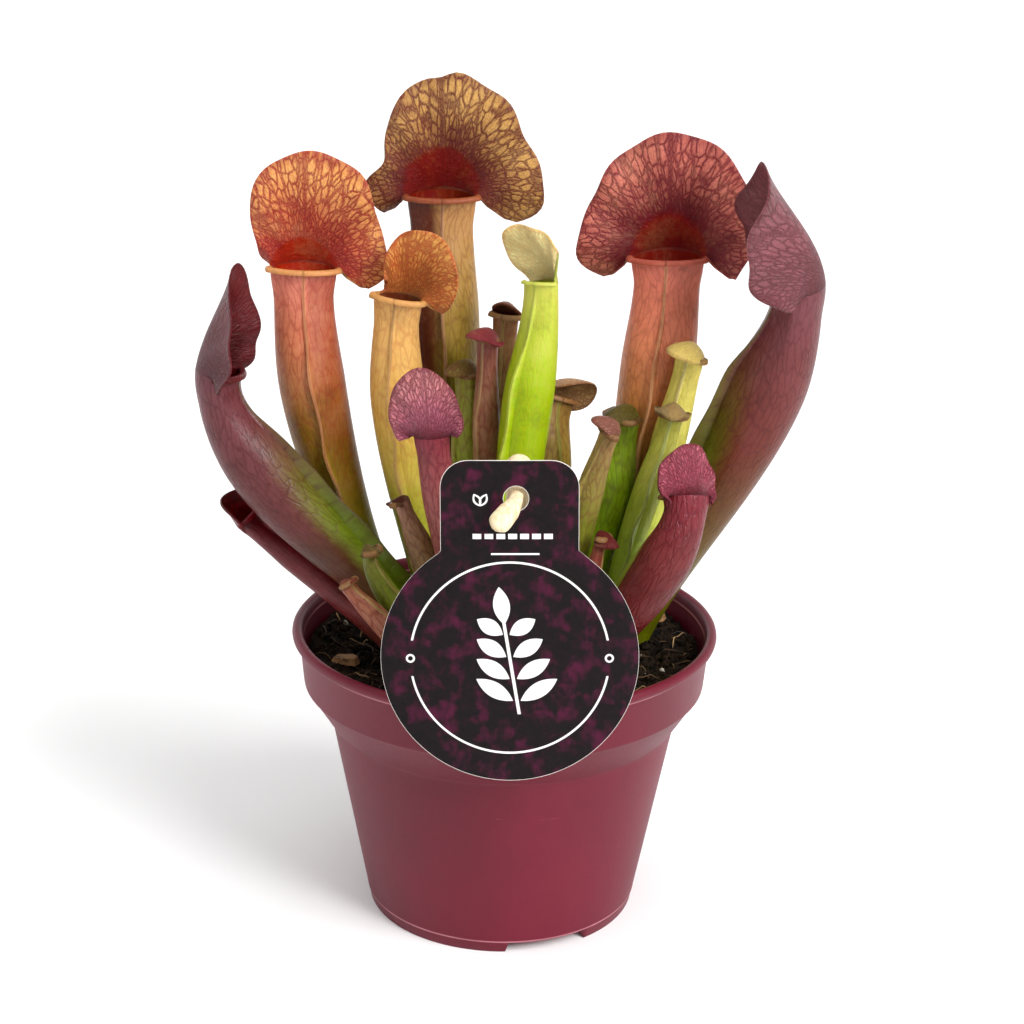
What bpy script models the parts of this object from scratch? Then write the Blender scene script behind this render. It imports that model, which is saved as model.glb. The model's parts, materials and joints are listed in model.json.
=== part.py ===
"""Potted pitcher plant in a thin plastic pot, with its label card on a wooden stake.

Lengths are in metres in the finished model and in millimetres in the tables below.
+Z is up and the front is -Y. The tables have their origin on the floor under the pot's
middle; the finished model is moved so that the middle of its box is over the origin.
"""

from dataclasses import dataclass
from math import asin, cos, pi, radians, sin, sqrt

import bmesh
import bpy
import numpy as np
from mathutils import Matrix, Vector

MM = 0.001
GAP = 0.3                   # clearance between neighbouring pieces
BOX_MIDDLE = (0.3, -3.4)    # middle of the whole plant's box, from the pot's axis

# --- driving dimensions of the pot, in millimetres ---
POT_HEIGHT = 84.1
RIM_RADIUS = 60.0
WALL = 1.1
FOOT_RADIUS = 38.5
FOOT_HEIGHT = 3.5
BODY_TOP = (49.4, 57.5)     # radius and height of the lower edge of the shoulder
COLLAR_FOOT = (56.8, 68.2)  # radius and height of the upper edge of the shoulder
NOTCH_WIDTH = 35.0          # degrees
NOTCH_FIRST = 20.5          # degrees from the front towards +X
DRAIN_RADIUS = 3.5
DRAIN_CIRCLE = 24.0
DRAIN_FIRST = 11.0          # degrees
POT_STEPS = 48

# --- soil and the creeping stem in it ---
SOIL_TOP = 75.5
STEM_START = (-21.0, -5.0)
STEM_END = (26.0, -5.0)
STEM_RADIUS = 6.5
STEM_CENTRE = 71.5

# --- label card and its stake ---
CARD_RADIUS = 33.0
CARD_TOP = 51.8             # tab top above the middle of the disc, along the card
TAB_HALF = 17.5
TAB_CORNER = 7.0
CARD_THICK = 0.5
CARD_HOLE = (1.6, 42.0)     # place on the card, from the middle of the disc
CARD_HOLE_RADIUS = 3.2
CARD_CENTRE = (1.5, -62.9, 99.8)
CARD_LEAN = 5.6             # degrees, top towards the plant
CARD_ROLL = 1.0             # degrees, top towards -X
STAKE_RADIUS = 3.2
STAKE_FOOT = (3.0, -42.0, 50.0)
STAKE_HEAD = (3.0, -54.2, 149.0)


@dataclass
class Pitcher:
    """One pitcher. The route's four points steer a smooth curve from the base to the mouth."""

    route: list             # base, lower handle, upper handle, mouth
    front: tuple            # the way the mouth faces
    girth: tuple            # base radius, widest radius, where it is widest (0 to 1), mouth radius
    hood: list              # distances from the hood's middle to its edge, from side to side
    hood_span: float = 122  # degrees to each side that those distances cover
    hood_rise: float = 3.0  # height of the hood's middle above the mouth
    lean: float = 0.0       # degrees the hood leans back, negative is forward
    turn: float = 0.0       # degrees the hood is turned in its own plane
    cup: float = 0.25       # how far the hood's sides come forward
    start: float = 1.0      # how long the hood keeps to the tube's direction
    finish: float = 0.9     # how long the hood keeps to its edge's direction
    droop: float = 0.0      # how far the hood's edge turns down
    wing: float = 2.0       # height of the wing down the front
    depth: float = 0.0      # how deep the tube is hollowed out, 0 for a solid one
    colour: tuple = (0.35, 0.15, 0.1)


PITCHERS = [
    Pitcher([(-16, 9, 76), (-17, 15, 130), (-19, 19, 164), (-19, 17, 202)], (0.05, -1, 0.1),
            (3.5, 10.2, 0.72, 9.4), [14, 21, 17, 24, 30, 27, 25, 28, 19], hood_span=132,
            lean=-2, wing=3, depth=26, colour=(0.30, 0.22, 0.06)),
    Pitcher([(-25, 5, 76), (-49, 4, 112), (-57, 5, 153), (-56, 5, 184)], (0.09, -1, 0.1),
            (3.2, 9.2, 0.75, 9.0), [7, 11, 15, 24, 28, 27, 22, 23, 17], hood_span=130,
            lean=-4, wing=3, depth=26, colour=(0.55, 0.22, 0.08)),
    Pitcher([(28, 8, 76), (36, 12, 123), (44, 13, 161), (43, 12, 187)], (-0.14, -1, 0.1),
            (3.5, 10.3, 0.8, 10.0), [16, 25, 24, 27, 30, 29, 25, 22, 20], hood_span=132,
            lean=-2, wing=4, depth=26, colour=(0.48, 0.13, 0.09)),
    Pitcher([(-9, -8, 77), (-33, -12, 99), (-80, -12, 134), (-76, -11, 159)], (0.98, -0.17, 0.1),
            (3.2, 9.2, 0.75, 8.0), [9, 11, 13, 17, 25, 17, 13, 12, 10], hood_span=125,
            lean=4, cup=1.5, start=0.9, wing=4, depth=22, colour=(0.12, 0.035, 0.05)),
    Pitcher([(37, 7, 77), (48, 8, 107), (79, 0, 156), (75, -4, 184)], (-0.98, -0.17, 0.1),
            (3.5, 10.8, 0.75, 9.4), [15, 17, 19, 25, 35, 25, 19, 17, 15], hood_span=125,
            lean=-18, cup=1.5, wing=4, depth=22, colour=(0.12, 0.04, 0.05)),
    Pitcher([(-18, 1, 77), (-26, 1, 121), (-33, -1, 150), (-30, -2, 178)], (-0.21, -1, 0.1),
            (3.0, 7.6, 0.75, 6.6), [4, 5, 9, 16, 19, 16, 11], hood_rise=2, lean=-4, wing=4,
            depth=20, colour=(0.50, 0.33, 0.05)),
    Pitcher([(10, -10, 77), (-5, -12, 128), (9, -13, 157), (8, -10, 185)], (-0.42, -1, 0.1),
            (3.0, 6.8, 0.72, 5.4), [4, 6, 9, 13, 12, 9, 5], hood_rise=2.5, lean=-20, turn=-46,
            cup=0.2, start=1.3, finish=0.7, wing=3, colour=(0.30, 0.45, 0.03)),
    Pitcher([(-8, -20, 78), (-13, -25, 109), (-19, -26, 134), (-20, -25, 147)], (0.14, 1, 0),
            (2.5, 5.0, 0.85, 4.8), [7, 9, 10, 13, 17, 15, 12, 10, 8], hood_span=118,
            hood_rise=2, lean=4, cup=0.2, wing=2, colour=(0.18, 0.03, 0.06)),
    Pitcher([(-28, -15, 78), (-36, -13, 90), (-60, -5, 102), (-71, -4, 115)],
            (0.55, -0.5, 0.65), (2.8, 4.2, 0.8, 4.6), [7, 8, 8, 8, 8, 8, 8], hood_span=120,
            hood_rise=1, lean=-5, cup=0.9, wing=2.5, depth=12, colour=(0.16, 0.02, 0.02)),
    Pitcher([(-3, -4, 77), (-6, -5, 131), (-6, -7, 152), (-6, -8, 169)], (-0.64, -0.77, 0.1),
            (2.5, 3.8, 0.7, 3.2), [4, 6, 8, 10, 8, 6, 4], hood_rise=3.5, lean=-118, cup=0.3,
            start=1.4, finish=0.5, droop=0.6, wing=1.5, colour=(0.30, 0.12, 0.08)),
    Pitcher([(2, 4, 77), (-1, 5, 134), (-2, 5, 154), (-1, 5, 172)], (-0.34, -0.94, 0.1),
            (2.0, 4.0, 0.7, 3.6), [3, 4, 6, 7, 6, 4, 3], hood_rise=1, lean=-60, cup=0.3,
            start=1.6, finish=0.7, droop=0.5, wing=1.5, colour=(0.22, 0.14, 0.05)),
    Pitcher([(-9, 1, 77), (-10, 3, 119), (-11, 3, 140), (-12, 1, 157)], (-0.77, -0.64, 0.1),
            (2.5, 4.8, 0.7, 4.0), [4, 6, 8, 10, 8, 6, 4], hood_rise=4, lean=-125, cup=0.3,
            start=1.4, finish=0.5, droop=0.7, wing=1.5, colour=(0.16, 0.26, 0.03)),
    Pitcher([(11, -1, 77), (12, -3, 122), (10, -2, 139), (13, 1, 150)], (0.5, -0.87, 0.2),
            (2.5, 5.8, 0.7, 4.6), [4, 6, 9, 13, 11, 7, 4], lean=-50, turn=60, cup=0.3,
            start=1.3, finish=0.7, droop=0.4, wing=2, colour=(0.20, 0.17, 0.05)),
    Pitcher([(17, -7, 77), (23, -3, 108), (31, -2, 133), (31, -3, 146)], (-0.77, -0.64, 0.1),
            (3.0, 7.0, 0.7, 5.0), [4, 6, 9, 11, 9, 6, 4], hood_rise=4, lean=-125, cup=0.3,
            start=1.4, finish=0.5, droop=0.8, wing=2.5, colour=(0.16, 0.30, 0.02)),
    Pitcher([(16, -15, 77), (18, -16, 118), (24, -19, 137), (27, -24, 149)], (-0.77, -0.64, 0.1),
            (2.0, 3.8, 0.7, 3.0), [3, 4, 6, 8, 6, 4, 3], lean=-100, turn=-20, cup=0.3,
            start=1.4, finish=0.6, droop=0.6, wing=1.5, colour=(0.20, 0.22, 0.06)),
    Pitcher([(33, -4, 77), (38, 1, 116), (46, 1, 142), (49, -4, 164)], (-0.42, -0.91, 0.1),
            (2.5, 4.8, 0.7, 4.0), [4, 6, 9, 11, 9, 6, 4], hood_rise=4, lean=-115, turn=-20,
            cup=0.3, start=1.4, finish=0.5, droop=0.8, wing=2, colour=(0.48, 0.48, 0.12)),
    Pitcher([(27, -9, 77), (33, -8, 116), (42, -10, 135), (44, -15, 151)], (-0.09, -1, 0.1),
            (2.5, 4.0, 0.7, 3.2), [4, 5, 7, 9, 7, 5, 4], hood_rise=4, lean=-120, cup=0.3,
            start=1.4, finish=0.5, droop=0.8, wing=1.5, colour=(0.38, 0.38, 0.10)),
    Pitcher([(16, -24, 78), (37, -33, 104), (50, -31, 123), (51, -26, 134)], (-0.42, 0.91, 0.1),
            (3.0, 7.2, 0.75, 6.4), [6, 7, 8, 10, 13, 12, 11, 9, 7], hood_span=130,
            hood_rise=1, lean=-4, turn=-4, cup=0.3, wing=2, colour=(0.22, 0.025, 0.04)),
    Pitcher([(24, -18, 77), (30, -18, 101), (40, -20, 112), (49, -16, 129)], (-0.34, 0.94, 0.1),
            (2.5, 3.9, 0.5, 2.0), [2, 3, 4, 2, 2], hood_rise=1, cup=0.3, wing=1.5,
            colour=(0.42, 0.52, 0.10)),
    Pitcher([(10, -26, 78), (21, -25, 101), (25, -25, 113), (26, -25, 119)], (0.87, -0.5, 0.1),
            (1.8, 2.6, 0.6, 2.2), [3, 4, 7, 4, 3], hood_rise=1, lean=-120, cup=0.3, start=1.6,
            droop=0.8, wing=1, colour=(0.28, 0.08, 0.05)),
    Pitcher([(-12, -16, 77), (-17, -17, 105), (-26, -17, 117), (-29, -16, 125)],
            (-0.98, 0.17, 0.1), (2.0, 4.0, 0.6, 3.0), [2, 4, 6, 4, 2], hood_rise=1, lean=-100,
            cup=0.3, start=1.5, wing=1, colour=(0.26, 0.24, 0.05)),
    Pitcher([(-15, -22, 77), (-28, -26, 100), (-37, -26, 105), (-36, -27, 115)],
            (0.87, -0.5, 0.1), (1.8, 3.4, 0.6, 2.6), [2, 4, 5, 4, 2], hood_rise=1, lean=-100,
            cup=0.3, start=1.5, wing=1, colour=(0.22, 0.32, 0.05)),
    Pitcher([(-19, -29, 77), (-30, -32, 97), (-39, -32, 101), (-42, -31, 107)],
            (0.87, -0.5, 0.1), (1.8, 3.2, 0.6, 2.4), [2, 3, 5, 3, 2], hood_rise=1, lean=-100,
            cup=0.3, start=1.5, wing=1, colour=(0.45, 0.30, 0.18)),
]

BARK_CHIPS = [
    # middle (x, y), length, width, turn in degrees
    ((43, 20), 9.0, 5.0, 35.0),
    ((-44, -14), 8.0, 4.5, -20.0),
    ((30, -40), 7.0, 4.0, 70.0),
]
CHIP_THICK = 2.2
SHELL_THICK = 1.0           # of a pitcher's wall
MOUTH_EDGE = 83.0           # degrees from the back of the tube to each side of the hood's foot
HOOD_SHARE = 0.9            # how much of its listed span the hood's edge covers
HOOD_ROOT = 2.5             # how far the hood runs down behind the mouth
ROOT_SKIN = 0.15            # how far inside the tube's wall a folded hood starts
FOLDED = -40.0              # a hood that leans forward more than this is folded over its mouth


@dataclass
class Finish:
    """Colour and surface of one moulded, grown or printed piece."""

    colour: tuple
    roughness: float

    def make(self, name):
        """Return a Principled material with this colour and roughness."""
        material = bpy.data.materials.new(name)
        material.use_nodes = True
        shader = material.node_tree.nodes["Principled BSDF"]
        shader.inputs["Base Color"].default_value = (*self.colour, 1.0)
        shader.inputs["Roughness"].default_value = self.roughness
        shader.inputs["Metallic"].default_value = 0.0
        return material


def clear_scene():
    """Remove every object that the scene starts with."""
    for item in list(bpy.data.objects):
        bpy.data.objects.remove(item, do_unlink=True)


def add_piece(name, points, faces, finish, flat=False, sharp=50.0):
    """Make one mesh object from points in millimetres and give it its finish."""
    mesh = bpy.data.meshes.new(name)
    mesh.from_pydata([tuple(p) for p in np.asarray(points) * MM], [], [tuple(f) for f in faces])
    mesh.validate()
    if not flat:
        mesh.shade_smooth()
        mesh.set_sharp_from_angle(angle=radians(sharp))
    piece = bpy.data.objects.new(name, mesh)
    mesh.materials.append(finish.make(name))
    bpy.context.scene.collection.objects.link(piece)
    return piece


def add_cutter(name, points, faces):
    """Make a hidden guide solid that a Boolean takes away."""
    cutter = add_piece(name, points, faces, Finish((0.5, 0.5, 0.5), 0.5), flat=True)
    make_outward(cutter)
    cutter.hide_render = True
    cutter.display_type = 'WIRE'
    return cutter


def cut(piece, cutter):
    """Take the cutter away from the piece."""
    combine(piece, cutter, 'DIFFERENCE')


def join(piece, form):
    """Make the form one body with the piece."""
    combine(piece, form, 'UNION')


def combine(piece, other, operation):
    """Add an exact Boolean step to the piece."""
    step = piece.modifiers.new(other.name, 'BOOLEAN')
    step.operation = operation
    step.solver = 'EXACT'
    step.object = other


def unit(vectors):
    """Scale vectors to length one."""
    vectors = np.asarray(vectors, float)
    return vectors / np.linalg.norm(vectors, axis=-1, keepdims=True)


def smoothstep(values, low, high):
    """Rise smoothly from 0 at low to 1 at high."""
    t = np.clip((np.asarray(values, float) - low) / (high - low), 0, 1)
    return t * t * (3 - 2 * t)


def grid_faces(rows, columns):
    """Quads of a grid whose columns close round, rows running from the first to the last."""
    index = np.arange(rows * columns).reshape(rows, columns)
    after = np.roll(index, -1, axis=1)
    return np.stack([index[:-1], after[:-1], after[1:], index[1:]], -1).reshape(-1, 4).tolist()


def lathe(profile, steps):
    """Turn a profile of (radius, height) round Z; both its ends lie on the axis."""
    angles = np.arange(steps) * 2 * pi / steps
    ring = np.stack([np.cos(angles), np.sin(angles)], -1)
    body = [p for p in profile if p[0] > 0]
    points = np.array([[(r * c, r * s, z) for c, s in ring] for r, z in body]).reshape(-1, 3)
    faces = grid_faces(len(body), steps)
    first, last = len(points), len(points) + 1
    points = np.vstack([points, [(0, 0, profile[0][1]), (0, 0, profile[-1][1])]])
    top = (len(body) - 1) * steps
    for k in range(steps):
        after = (k + 1) % steps
        faces.append([first, after, k])
        faces.append([last, top + k, top + after])
    return points, faces


def cylinder_points(centre, direction, radius, length, steps=16):
    """A closed cylinder round a line through its centre."""
    axis = Vector(direction).normalized()
    turn = axis.to_track_quat('Z', 'Y').to_matrix()
    points, faces = lathe([(0, -length / 2), (radius, -length / 2), (radius, length / 2),
                           (0, length / 2)], steps)
    return points @ np.array(turn).T + np.array(centre), faces


def ground_height(x, y, reach):
    """Height of the soil, or of the creeping stem where it lies under a base."""
    along = min(max(x, STEM_START[0]), STEM_END[0])
    away = sqrt((x - along) ** 2 + (y - STEM_START[1]) ** 2)
    clear = max(0.0, away - reach)
    if clear >= STEM_RADIUS:
        return SOIL_TOP
    return max(SOIL_TOP, STEM_CENTRE + sqrt(STEM_RADIUS ** 2 - clear ** 2))


def make_pot(finish):
    """A thin pot: rolled rim, collar, slanted shoulder, cone, raised base and notched foot."""
    body_r, body_z = BODY_TOP
    step_r, step_z = COLLAR_FOOT
    base = FOOT_HEIGHT
    profile = [
        (0, base), (FOOT_RADIUS - 1.6, base), (FOOT_RADIUS - 1.4, 0), (FOOT_RADIUS - 0.3, 0),
        (FOOT_RADIUS + 0.5, base), (body_r - 0.3, body_z - 1.0), (body_r + 0.3, body_z + 0.3),
        (step_r - 0.5, step_z - 0.7), (step_r, step_z + 0.5), (RIM_RADIUS - 1.6, POT_HEIGHT - 3.6),
        (RIM_RADIUS - 0.3, POT_HEIGHT - 2.8), (RIM_RADIUS, POT_HEIGHT - 1.4),
        (RIM_RADIUS - 0.6, POT_HEIGHT - 0.2), (RIM_RADIUS - 1.4, POT_HEIGHT),
        (RIM_RADIUS - 2.4, POT_HEIGHT - 0.4), (RIM_RADIUS - 2.8, POT_HEIGHT - 1.6),
        (step_r - WALL, step_z + 0.8), (step_r - 1.9, step_z - 0.7),
        (body_r - 1.1, body_z + 0.5), (FOOT_RADIUS - 0.8, base + WALL), (0, base + WALL),
    ]
    points, faces = lathe(profile, POT_STEPS)
    pot = add_piece("pot", points, faces, finish, sharp=40.0)
    for k in range(3):
        middle = radians(NOTCH_FIRST + 120 * k)
        edges = [middle + side * radians(NOTCH_WIDTH / 2) for side in (-1, 1)]
        outline = [(r * sin(a), -r * cos(a)) for r in (FOOT_RADIUS - 6, FOOT_RADIUS + 6)
                   for a in edges]
        low = [(x, y, -1.0) for x, y in outline]
        high = [(x, y, base - 0.6) for x, y in outline]
        cutter = add_cutter("cut_notch_%d" % k, low + high,
                            [(0, 2, 3, 1), (4, 5, 7, 6), (0, 1, 5, 4), (1, 3, 7, 5),
                             (3, 2, 6, 7), (2, 0, 4, 6)])
        cut(pot, cutter)
    for k in range(6):
        angle = radians(DRAIN_FIRST + 60 * k)
        points, faces = cylinder_points((DRAIN_CIRCLE * cos(angle), DRAIN_CIRCLE * sin(angle),
                                         base + WALL / 2), (0, 0, 1), DRAIN_RADIUS, 4.0, 12)
        cut(pot, add_cutter("cut_drain_%d" % k, points, faces))
    return pot


def stem_points(radius, steps=16, rows=6):
    """A capsule along X, the shape of the creeping stem."""
    angles = np.linspace(-pi / 2, pi / 2, rows + 1)[1:-1]
    start, end = STEM_START[0], STEM_END[0]
    profile = [(0, start - radius)]
    profile += [(radius * cos(a), start + radius * sin(a)) for a in angles if a <= 0.01]
    profile += [(radius * cos(a), end + radius * sin(a)) for a in angles if a >= -0.01]
    profile += [(0, end + radius)]
    points, faces = lathe(profile, steps)
    across = points[:, 1] + STEM_START[1]
    turned = np.stack([points[:, 2], across, STEM_CENTRE - points[:, 0]], -1)
    return turned, faces


def make_soil(finish):
    """The peat block: it follows the inside of the pot and is flat but for low waves."""
    body_r, body_z = BODY_TOP
    step_r, step_z = COLLAR_FOOT
    inside = WALL + GAP
    low = FOOT_HEIGHT + WALL + GAP
    outer = [(FOOT_RADIUS - 1.4, low), (body_r - inside - 0.4, body_z + 0.5),
             (step_r - inside - 1.2, step_z - 0.4), (step_r - inside - 0.2, step_z + 1.2),
             (step_r - inside, SOIL_TOP)]
    profile = [(0, low)] + outer + [(48.0, SOIL_TOP), (40.0, SOIL_TOP), (0, SOIL_TOP)]
    points, faces = lathe(profile, POT_STEPS)
    radius = np.hypot(points[:, 0], points[:, 1])
    angle = np.arctan2(points[:, 1], points[:, 0])
    top = (points[:, 2] > SOIL_TOP - 0.01) & (radius > 44)
    points[top, 2] += 0.7 * np.sin(3 * angle[top] + 1) + 0.4 * np.sin(7 * angle[top])
    soil = add_piece("soil", points, faces, finish, sharp=40.0)
    hollow, hollow_faces = stem_points(STEM_RADIUS + GAP + 0.05)
    cut(soil, add_cutter("cut_stem_bed", hollow, hollow_faces))
    foot, head = Vector(STAKE_FOOT), Vector(STAKE_HEAD)
    stick = head - foot
    hole, hole_faces = cylinder_points(foot + stick * 0.2, stick, STAKE_RADIUS + GAP + 0.1,
                                       stick.length * 0.4 + 1.0, 12)
    cut(soil, add_cutter("cut_stake_hole", hole, hole_faces))
    return soil


def route_place(controls, share):
    """Points and directions at shares of the length of the cubic curve of four control points."""
    p = np.asarray(controls, float)

    def place(t):
        t = t[:, None]
        a = 1 - t
        return a ** 3 * p[0] + 3 * a * a * t * p[1] + 3 * a * t * t * p[2] + t ** 3 * p[3]

    def heading(t):
        t = t[:, None]
        a = 1 - t
        return a * a * (p[1] - p[0]) + 2 * a * t * (p[2] - p[1]) + t * t * (p[3] - p[2])

    fine = np.linspace(0, 1, 200)
    travelled = np.r_[0, np.cumsum(np.linalg.norm(np.diff(place(fine), axis=0), axis=1))]
    even = np.interp(share, travelled / travelled[-1], fine)
    return place(even), unit(heading(even)), travelled[-1]


def radius_along(t, girth):
    """Radius from the base to the mouth: swells to the widest place, then draws in."""
    base, widest, at, mouth = girth
    swell = base + (widest - base) * smoothstep(t, 0, at) ** 0.85
    draw = widest + (mouth - widest) * smoothstep(t, at, 1.0)
    return np.where(t < at, swell, draw)


def edge_curve(values, u):
    """Smooth curve through evenly spaced values, read at u from 0 to 1."""
    v = np.asarray(values, float)
    last = len(v) - 1
    x = np.clip(np.asarray(u) * last, 0, last - 1e-9)
    i = x.astype(int)
    f = x - i
    e = np.r_[2 * v[0] - v[1], v, 2 * v[-1] - v[-2]]
    a, b, c, d = e[i], e[i + 1], e[i + 2], e[i + 3]
    return 0.5 * (2 * b + (c - a) * f + (2 * a - 5 * b + 4 * c - d) * f ** 2
                  + (3 * b - a - 3 * c + d) * f ** 3)


def pitcher_columns(hood_columns, front_columns, with_wing):
    """Angles round the tube, 0 at the back: the hood's foot first, then round the front."""
    edge = radians(MOUTH_EDGE)
    across = np.linspace(-1, 1, hood_columns)
    side = np.linspace(edge, pi - 0.2, front_columns + 1)[1:]
    ridge = [pi - 0.07, pi, pi + 0.07] if with_wing else [pi]
    angle = np.r_[across * edge, side, ridge, 2 * pi - side[::-1]]
    wing = np.zeros(len(angle))
    wing[hood_columns + front_columns + len(ridge) // 2] = 1.0
    return across, angle, wing


def tube_frame(pitcher, share):
    """Middle, the three directions (up, front, right) and radius of the tube, and its length."""
    controls = [list(p) for p in pitcher.route]
    base_radius = pitcher.girth[0]
    heading = unit(np.subtract(controls[1], controls[0]))
    ground = ground_height(controls[0][0], controls[0][1], base_radius)
    controls[0][2] = ground + GAP + 0.1 + base_radius * sqrt(1 - heading[2] ** 2)
    centre, up, length = route_place(controls, share)
    front = unit(np.asarray(pitcher.front, float))
    front = unit(front - up * (up @ front)[:, None])
    return centre, up, front, np.cross(up, front), radius_along(share, pitcher.girth), length


def tube_rings(pitcher, share, angle, wing, inset=0.0):
    """Rings of points round the tube, flatter in front near the mouth, moved in by the inset."""
    centre, _, front, right, radius, _ = tube_frame(pitcher, share)
    flatten = 1 - 0.5 * smoothstep(share, 0.75, 1)[:, None] * smoothstep(-np.cos(angle), 0, 0.6)
    wing_height = pitcher.wing * np.sin(pi * share ** 0.8) ** 1.2
    outward = radius[:, None] * flatten + wing * wing_height[:, None]
    spoke = (right[:, None] * (radius[:, None] * np.sin(angle))[..., None]
             - front[:, None] * (outward * np.cos(angle))[..., None])
    size = np.linalg.norm(spoke, axis=-1, keepdims=True)
    return centre[:, None] + spoke * (1 - inset / size)


def closed_rings(rings, ends=None):
    """Points and faces of a solid through rings, with a fan of triangles over each end."""
    count = rings.shape[1]
    faces = grid_faces(len(rings), count)
    points = rings.reshape(-1, 3)
    first, last = len(points), len(points) + 1
    if ends is None:
        ends = (rings[0].mean(axis=0), rings[-1].mean(axis=0))
    points = np.vstack([points, *ends])
    top = (len(rings) - 1) * count
    for k in range(count):
        after = (k + 1) % count
        faces.append([first, after, k])
        faces.append([last, top + k, top + after])
    return points, faces


def hood_axes(pitcher):
    """Middle of the hood, and its rise, its width and the way it faces."""
    centre, up, front, right, radius, _ = tube_frame(pitcher, np.array([1.0]))
    centre, top, aim, side, mouth = centre[0], up[0], front[0], right[0], radius[0]
    lean, turn = radians(pitcher.lean), radians(pitcher.turn)
    rise = top * cos(lean) - aim * sin(lean)
    ahead = aim * cos(lean) + top * sin(lean)
    rise, wide = rise * cos(turn) + side * sin(turn), side * cos(turn) - rise * sin(turn)
    back = 0.8 if pitcher.lean < FOLDED else 0.95
    return centre - aim * mouth * back + top * pitcher.hood_rise, rise, wide, ahead, top


def folded_hood(pitcher, across, rows):
    """A hood that is folded over its mouth: the smallest lump round its curved sheet."""
    middle, rise, wide, ahead, top = hood_axes(pitcher)
    foot = tube_rings(pitcher, np.array([1.0]), across * radians(MOUTH_EDGE),
                      np.zeros(len(across)), ROOT_SKIN)[0]
    spread = across * HOOD_SHARE
    phi = spread * radians(pitcher.hood_span)
    reach = edge_curve(pitcher.hood, (spread + 1) / 2)
    sideways = reach * np.sin(phi)
    forward = pitcher.cup * sideways ** 2 / max(pitcher.hood)
    edge = (middle + rise * (reach * np.cos(phi))[:, None] + wide * sideways[:, None]
            + ahead * forward[:, None])
    span = np.linalg.norm(edge - foot, axis=1)
    start = top * (pitcher.start * (1 - 0.85 * np.abs(spread) ** 1.3) * span)[:, None]
    finish = ((unit(edge - middle) * pitcher.finish - ahead * 0.1 - top * pitcher.droop)
              * span[:, None])
    k = np.linspace(0, 1, rows + 1)[:, None, None]
    sheet = ((2 * k ** 3 - 3 * k ** 2 + 1) * foot + (k ** 3 - 2 * k ** 2 + k) * start
             + (3 * k ** 2 - 2 * k ** 3) * edge + (k ** 3 - k ** 2) * finish)
    return hull(sheet.reshape(-1, 3))


def hull(points):
    """Points and faces of the smallest solid without hollows round all the points."""
    work = bmesh.new()
    for point in points:
        work.verts.new(point)
    found = bmesh.ops.convex_hull(work, input=work.verts)
    inside = [item for item in found["geom_interior"] if isinstance(item, bmesh.types.BMVert)]
    bmesh.ops.delete(work, geom=inside, context='VERTS')
    work.verts.index_update()
    points = np.array([tuple(v.co) for v in work.verts])
    faces = [[v.index for v in face.verts] for face in work.faces]
    work.free()
    return points, faces


def standing_hood(pitcher, wall, columns):
    """A hood that stands behind its mouth: a cupped plate with a neck down into the wall."""
    middle, rise, wide, ahead, _ = hood_axes(pitcher)
    across = np.linspace(-1, 1, columns)
    span = radians(pitcher.hood_span) * HOOD_SHARE
    neck_angle = np.array([0.83, 1.0, 1.17]) * pi
    phi = np.r_[across * span, neck_angle]
    neck = (pitcher.hood_rise + HOOD_ROOT) / np.abs(np.cos(neck_angle))
    reach = np.r_[edge_curve(pitcher.hood, (across * HOOD_SHARE + 1) / 2), neck]
    sheets = []
    for share in (0.2, 0.6, 1.0):
        sideways = share * reach * np.sin(phi)
        forward = pitcher.cup * sideways ** 2 / max(pitcher.hood)
        sheets.append(middle + rise * (share * reach * np.cos(phi))[:, None]
                      + wide * sideways[:, None] + ahead * forward[:, None])
    sheets = np.array(sheets)
    rings = np.concatenate([sheets, sheets[::-1] + ahead * wall])
    return closed_rings(rings, (middle, middle + ahead * wall))


def mouth_hollow(pitcher, angle, wall, length):
    """The open part of the tube, from its floor to a little above the mouth."""
    plain = np.zeros(len(angle))
    floor = 1 - pitcher.depth / length
    deep = tube_rings(pitcher, np.linspace(floor, 0.98, 4), angle, plain, wall)
    mouth = tube_rings(pitcher, np.array([1.0]), angle, plain, wall)
    up = tube_frame(pitcher, np.array([1.0]))[1][0]
    return closed_rings(np.concatenate([deep, mouth + up * HOOD_ROOT]))


def make_pitcher(name, pitcher):
    """One pitcher: a solid tube with its hood joined on and, if it is large, an open mouth."""
    large = max(pitcher.hood) > 12 or pitcher.depth > 0
    rows, columns, front_columns = (8, 9, 2) if large else (5, 7, 1)
    across, angle, wing = pitcher_columns(columns, front_columns, large)
    length = tube_frame(pitcher, np.array([1.0]))[-1]
    wall = min(SHELL_THICK, 0.35 * pitcher.girth[3])
    body = tube_rings(pitcher, np.linspace(0, 1, rows + 1), angle, wing)
    body = add_piece(name, *closed_rings(body), Finish(pitcher.colour, 0.45), sharp=60.0)
    make_outward(body)
    if pitcher.lean < FOLDED:
        hood = folded_hood(pitcher, across, 2)
    else:
        hood = standing_hood(pitcher, wall, 2 * columns - 5)
    if pitcher.depth > 0:
        cut(body, add_cutter(name + "_mouth_form", *mouth_hollow(pitcher, angle, wall, length)))
    join(body, add_cutter(name + "_hood_form", *hood))
    return body


def card_matrix():
    """Place of the card: its disc's middle, leaning back and rolled a little."""
    roll = Matrix.Rotation(radians(-CARD_ROLL), 4, 'Y')
    lean = Matrix.Rotation(radians(-CARD_LEAN), 4, 'X')
    return Matrix.Translation(CARD_CENTRE) @ roll @ lean


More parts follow.
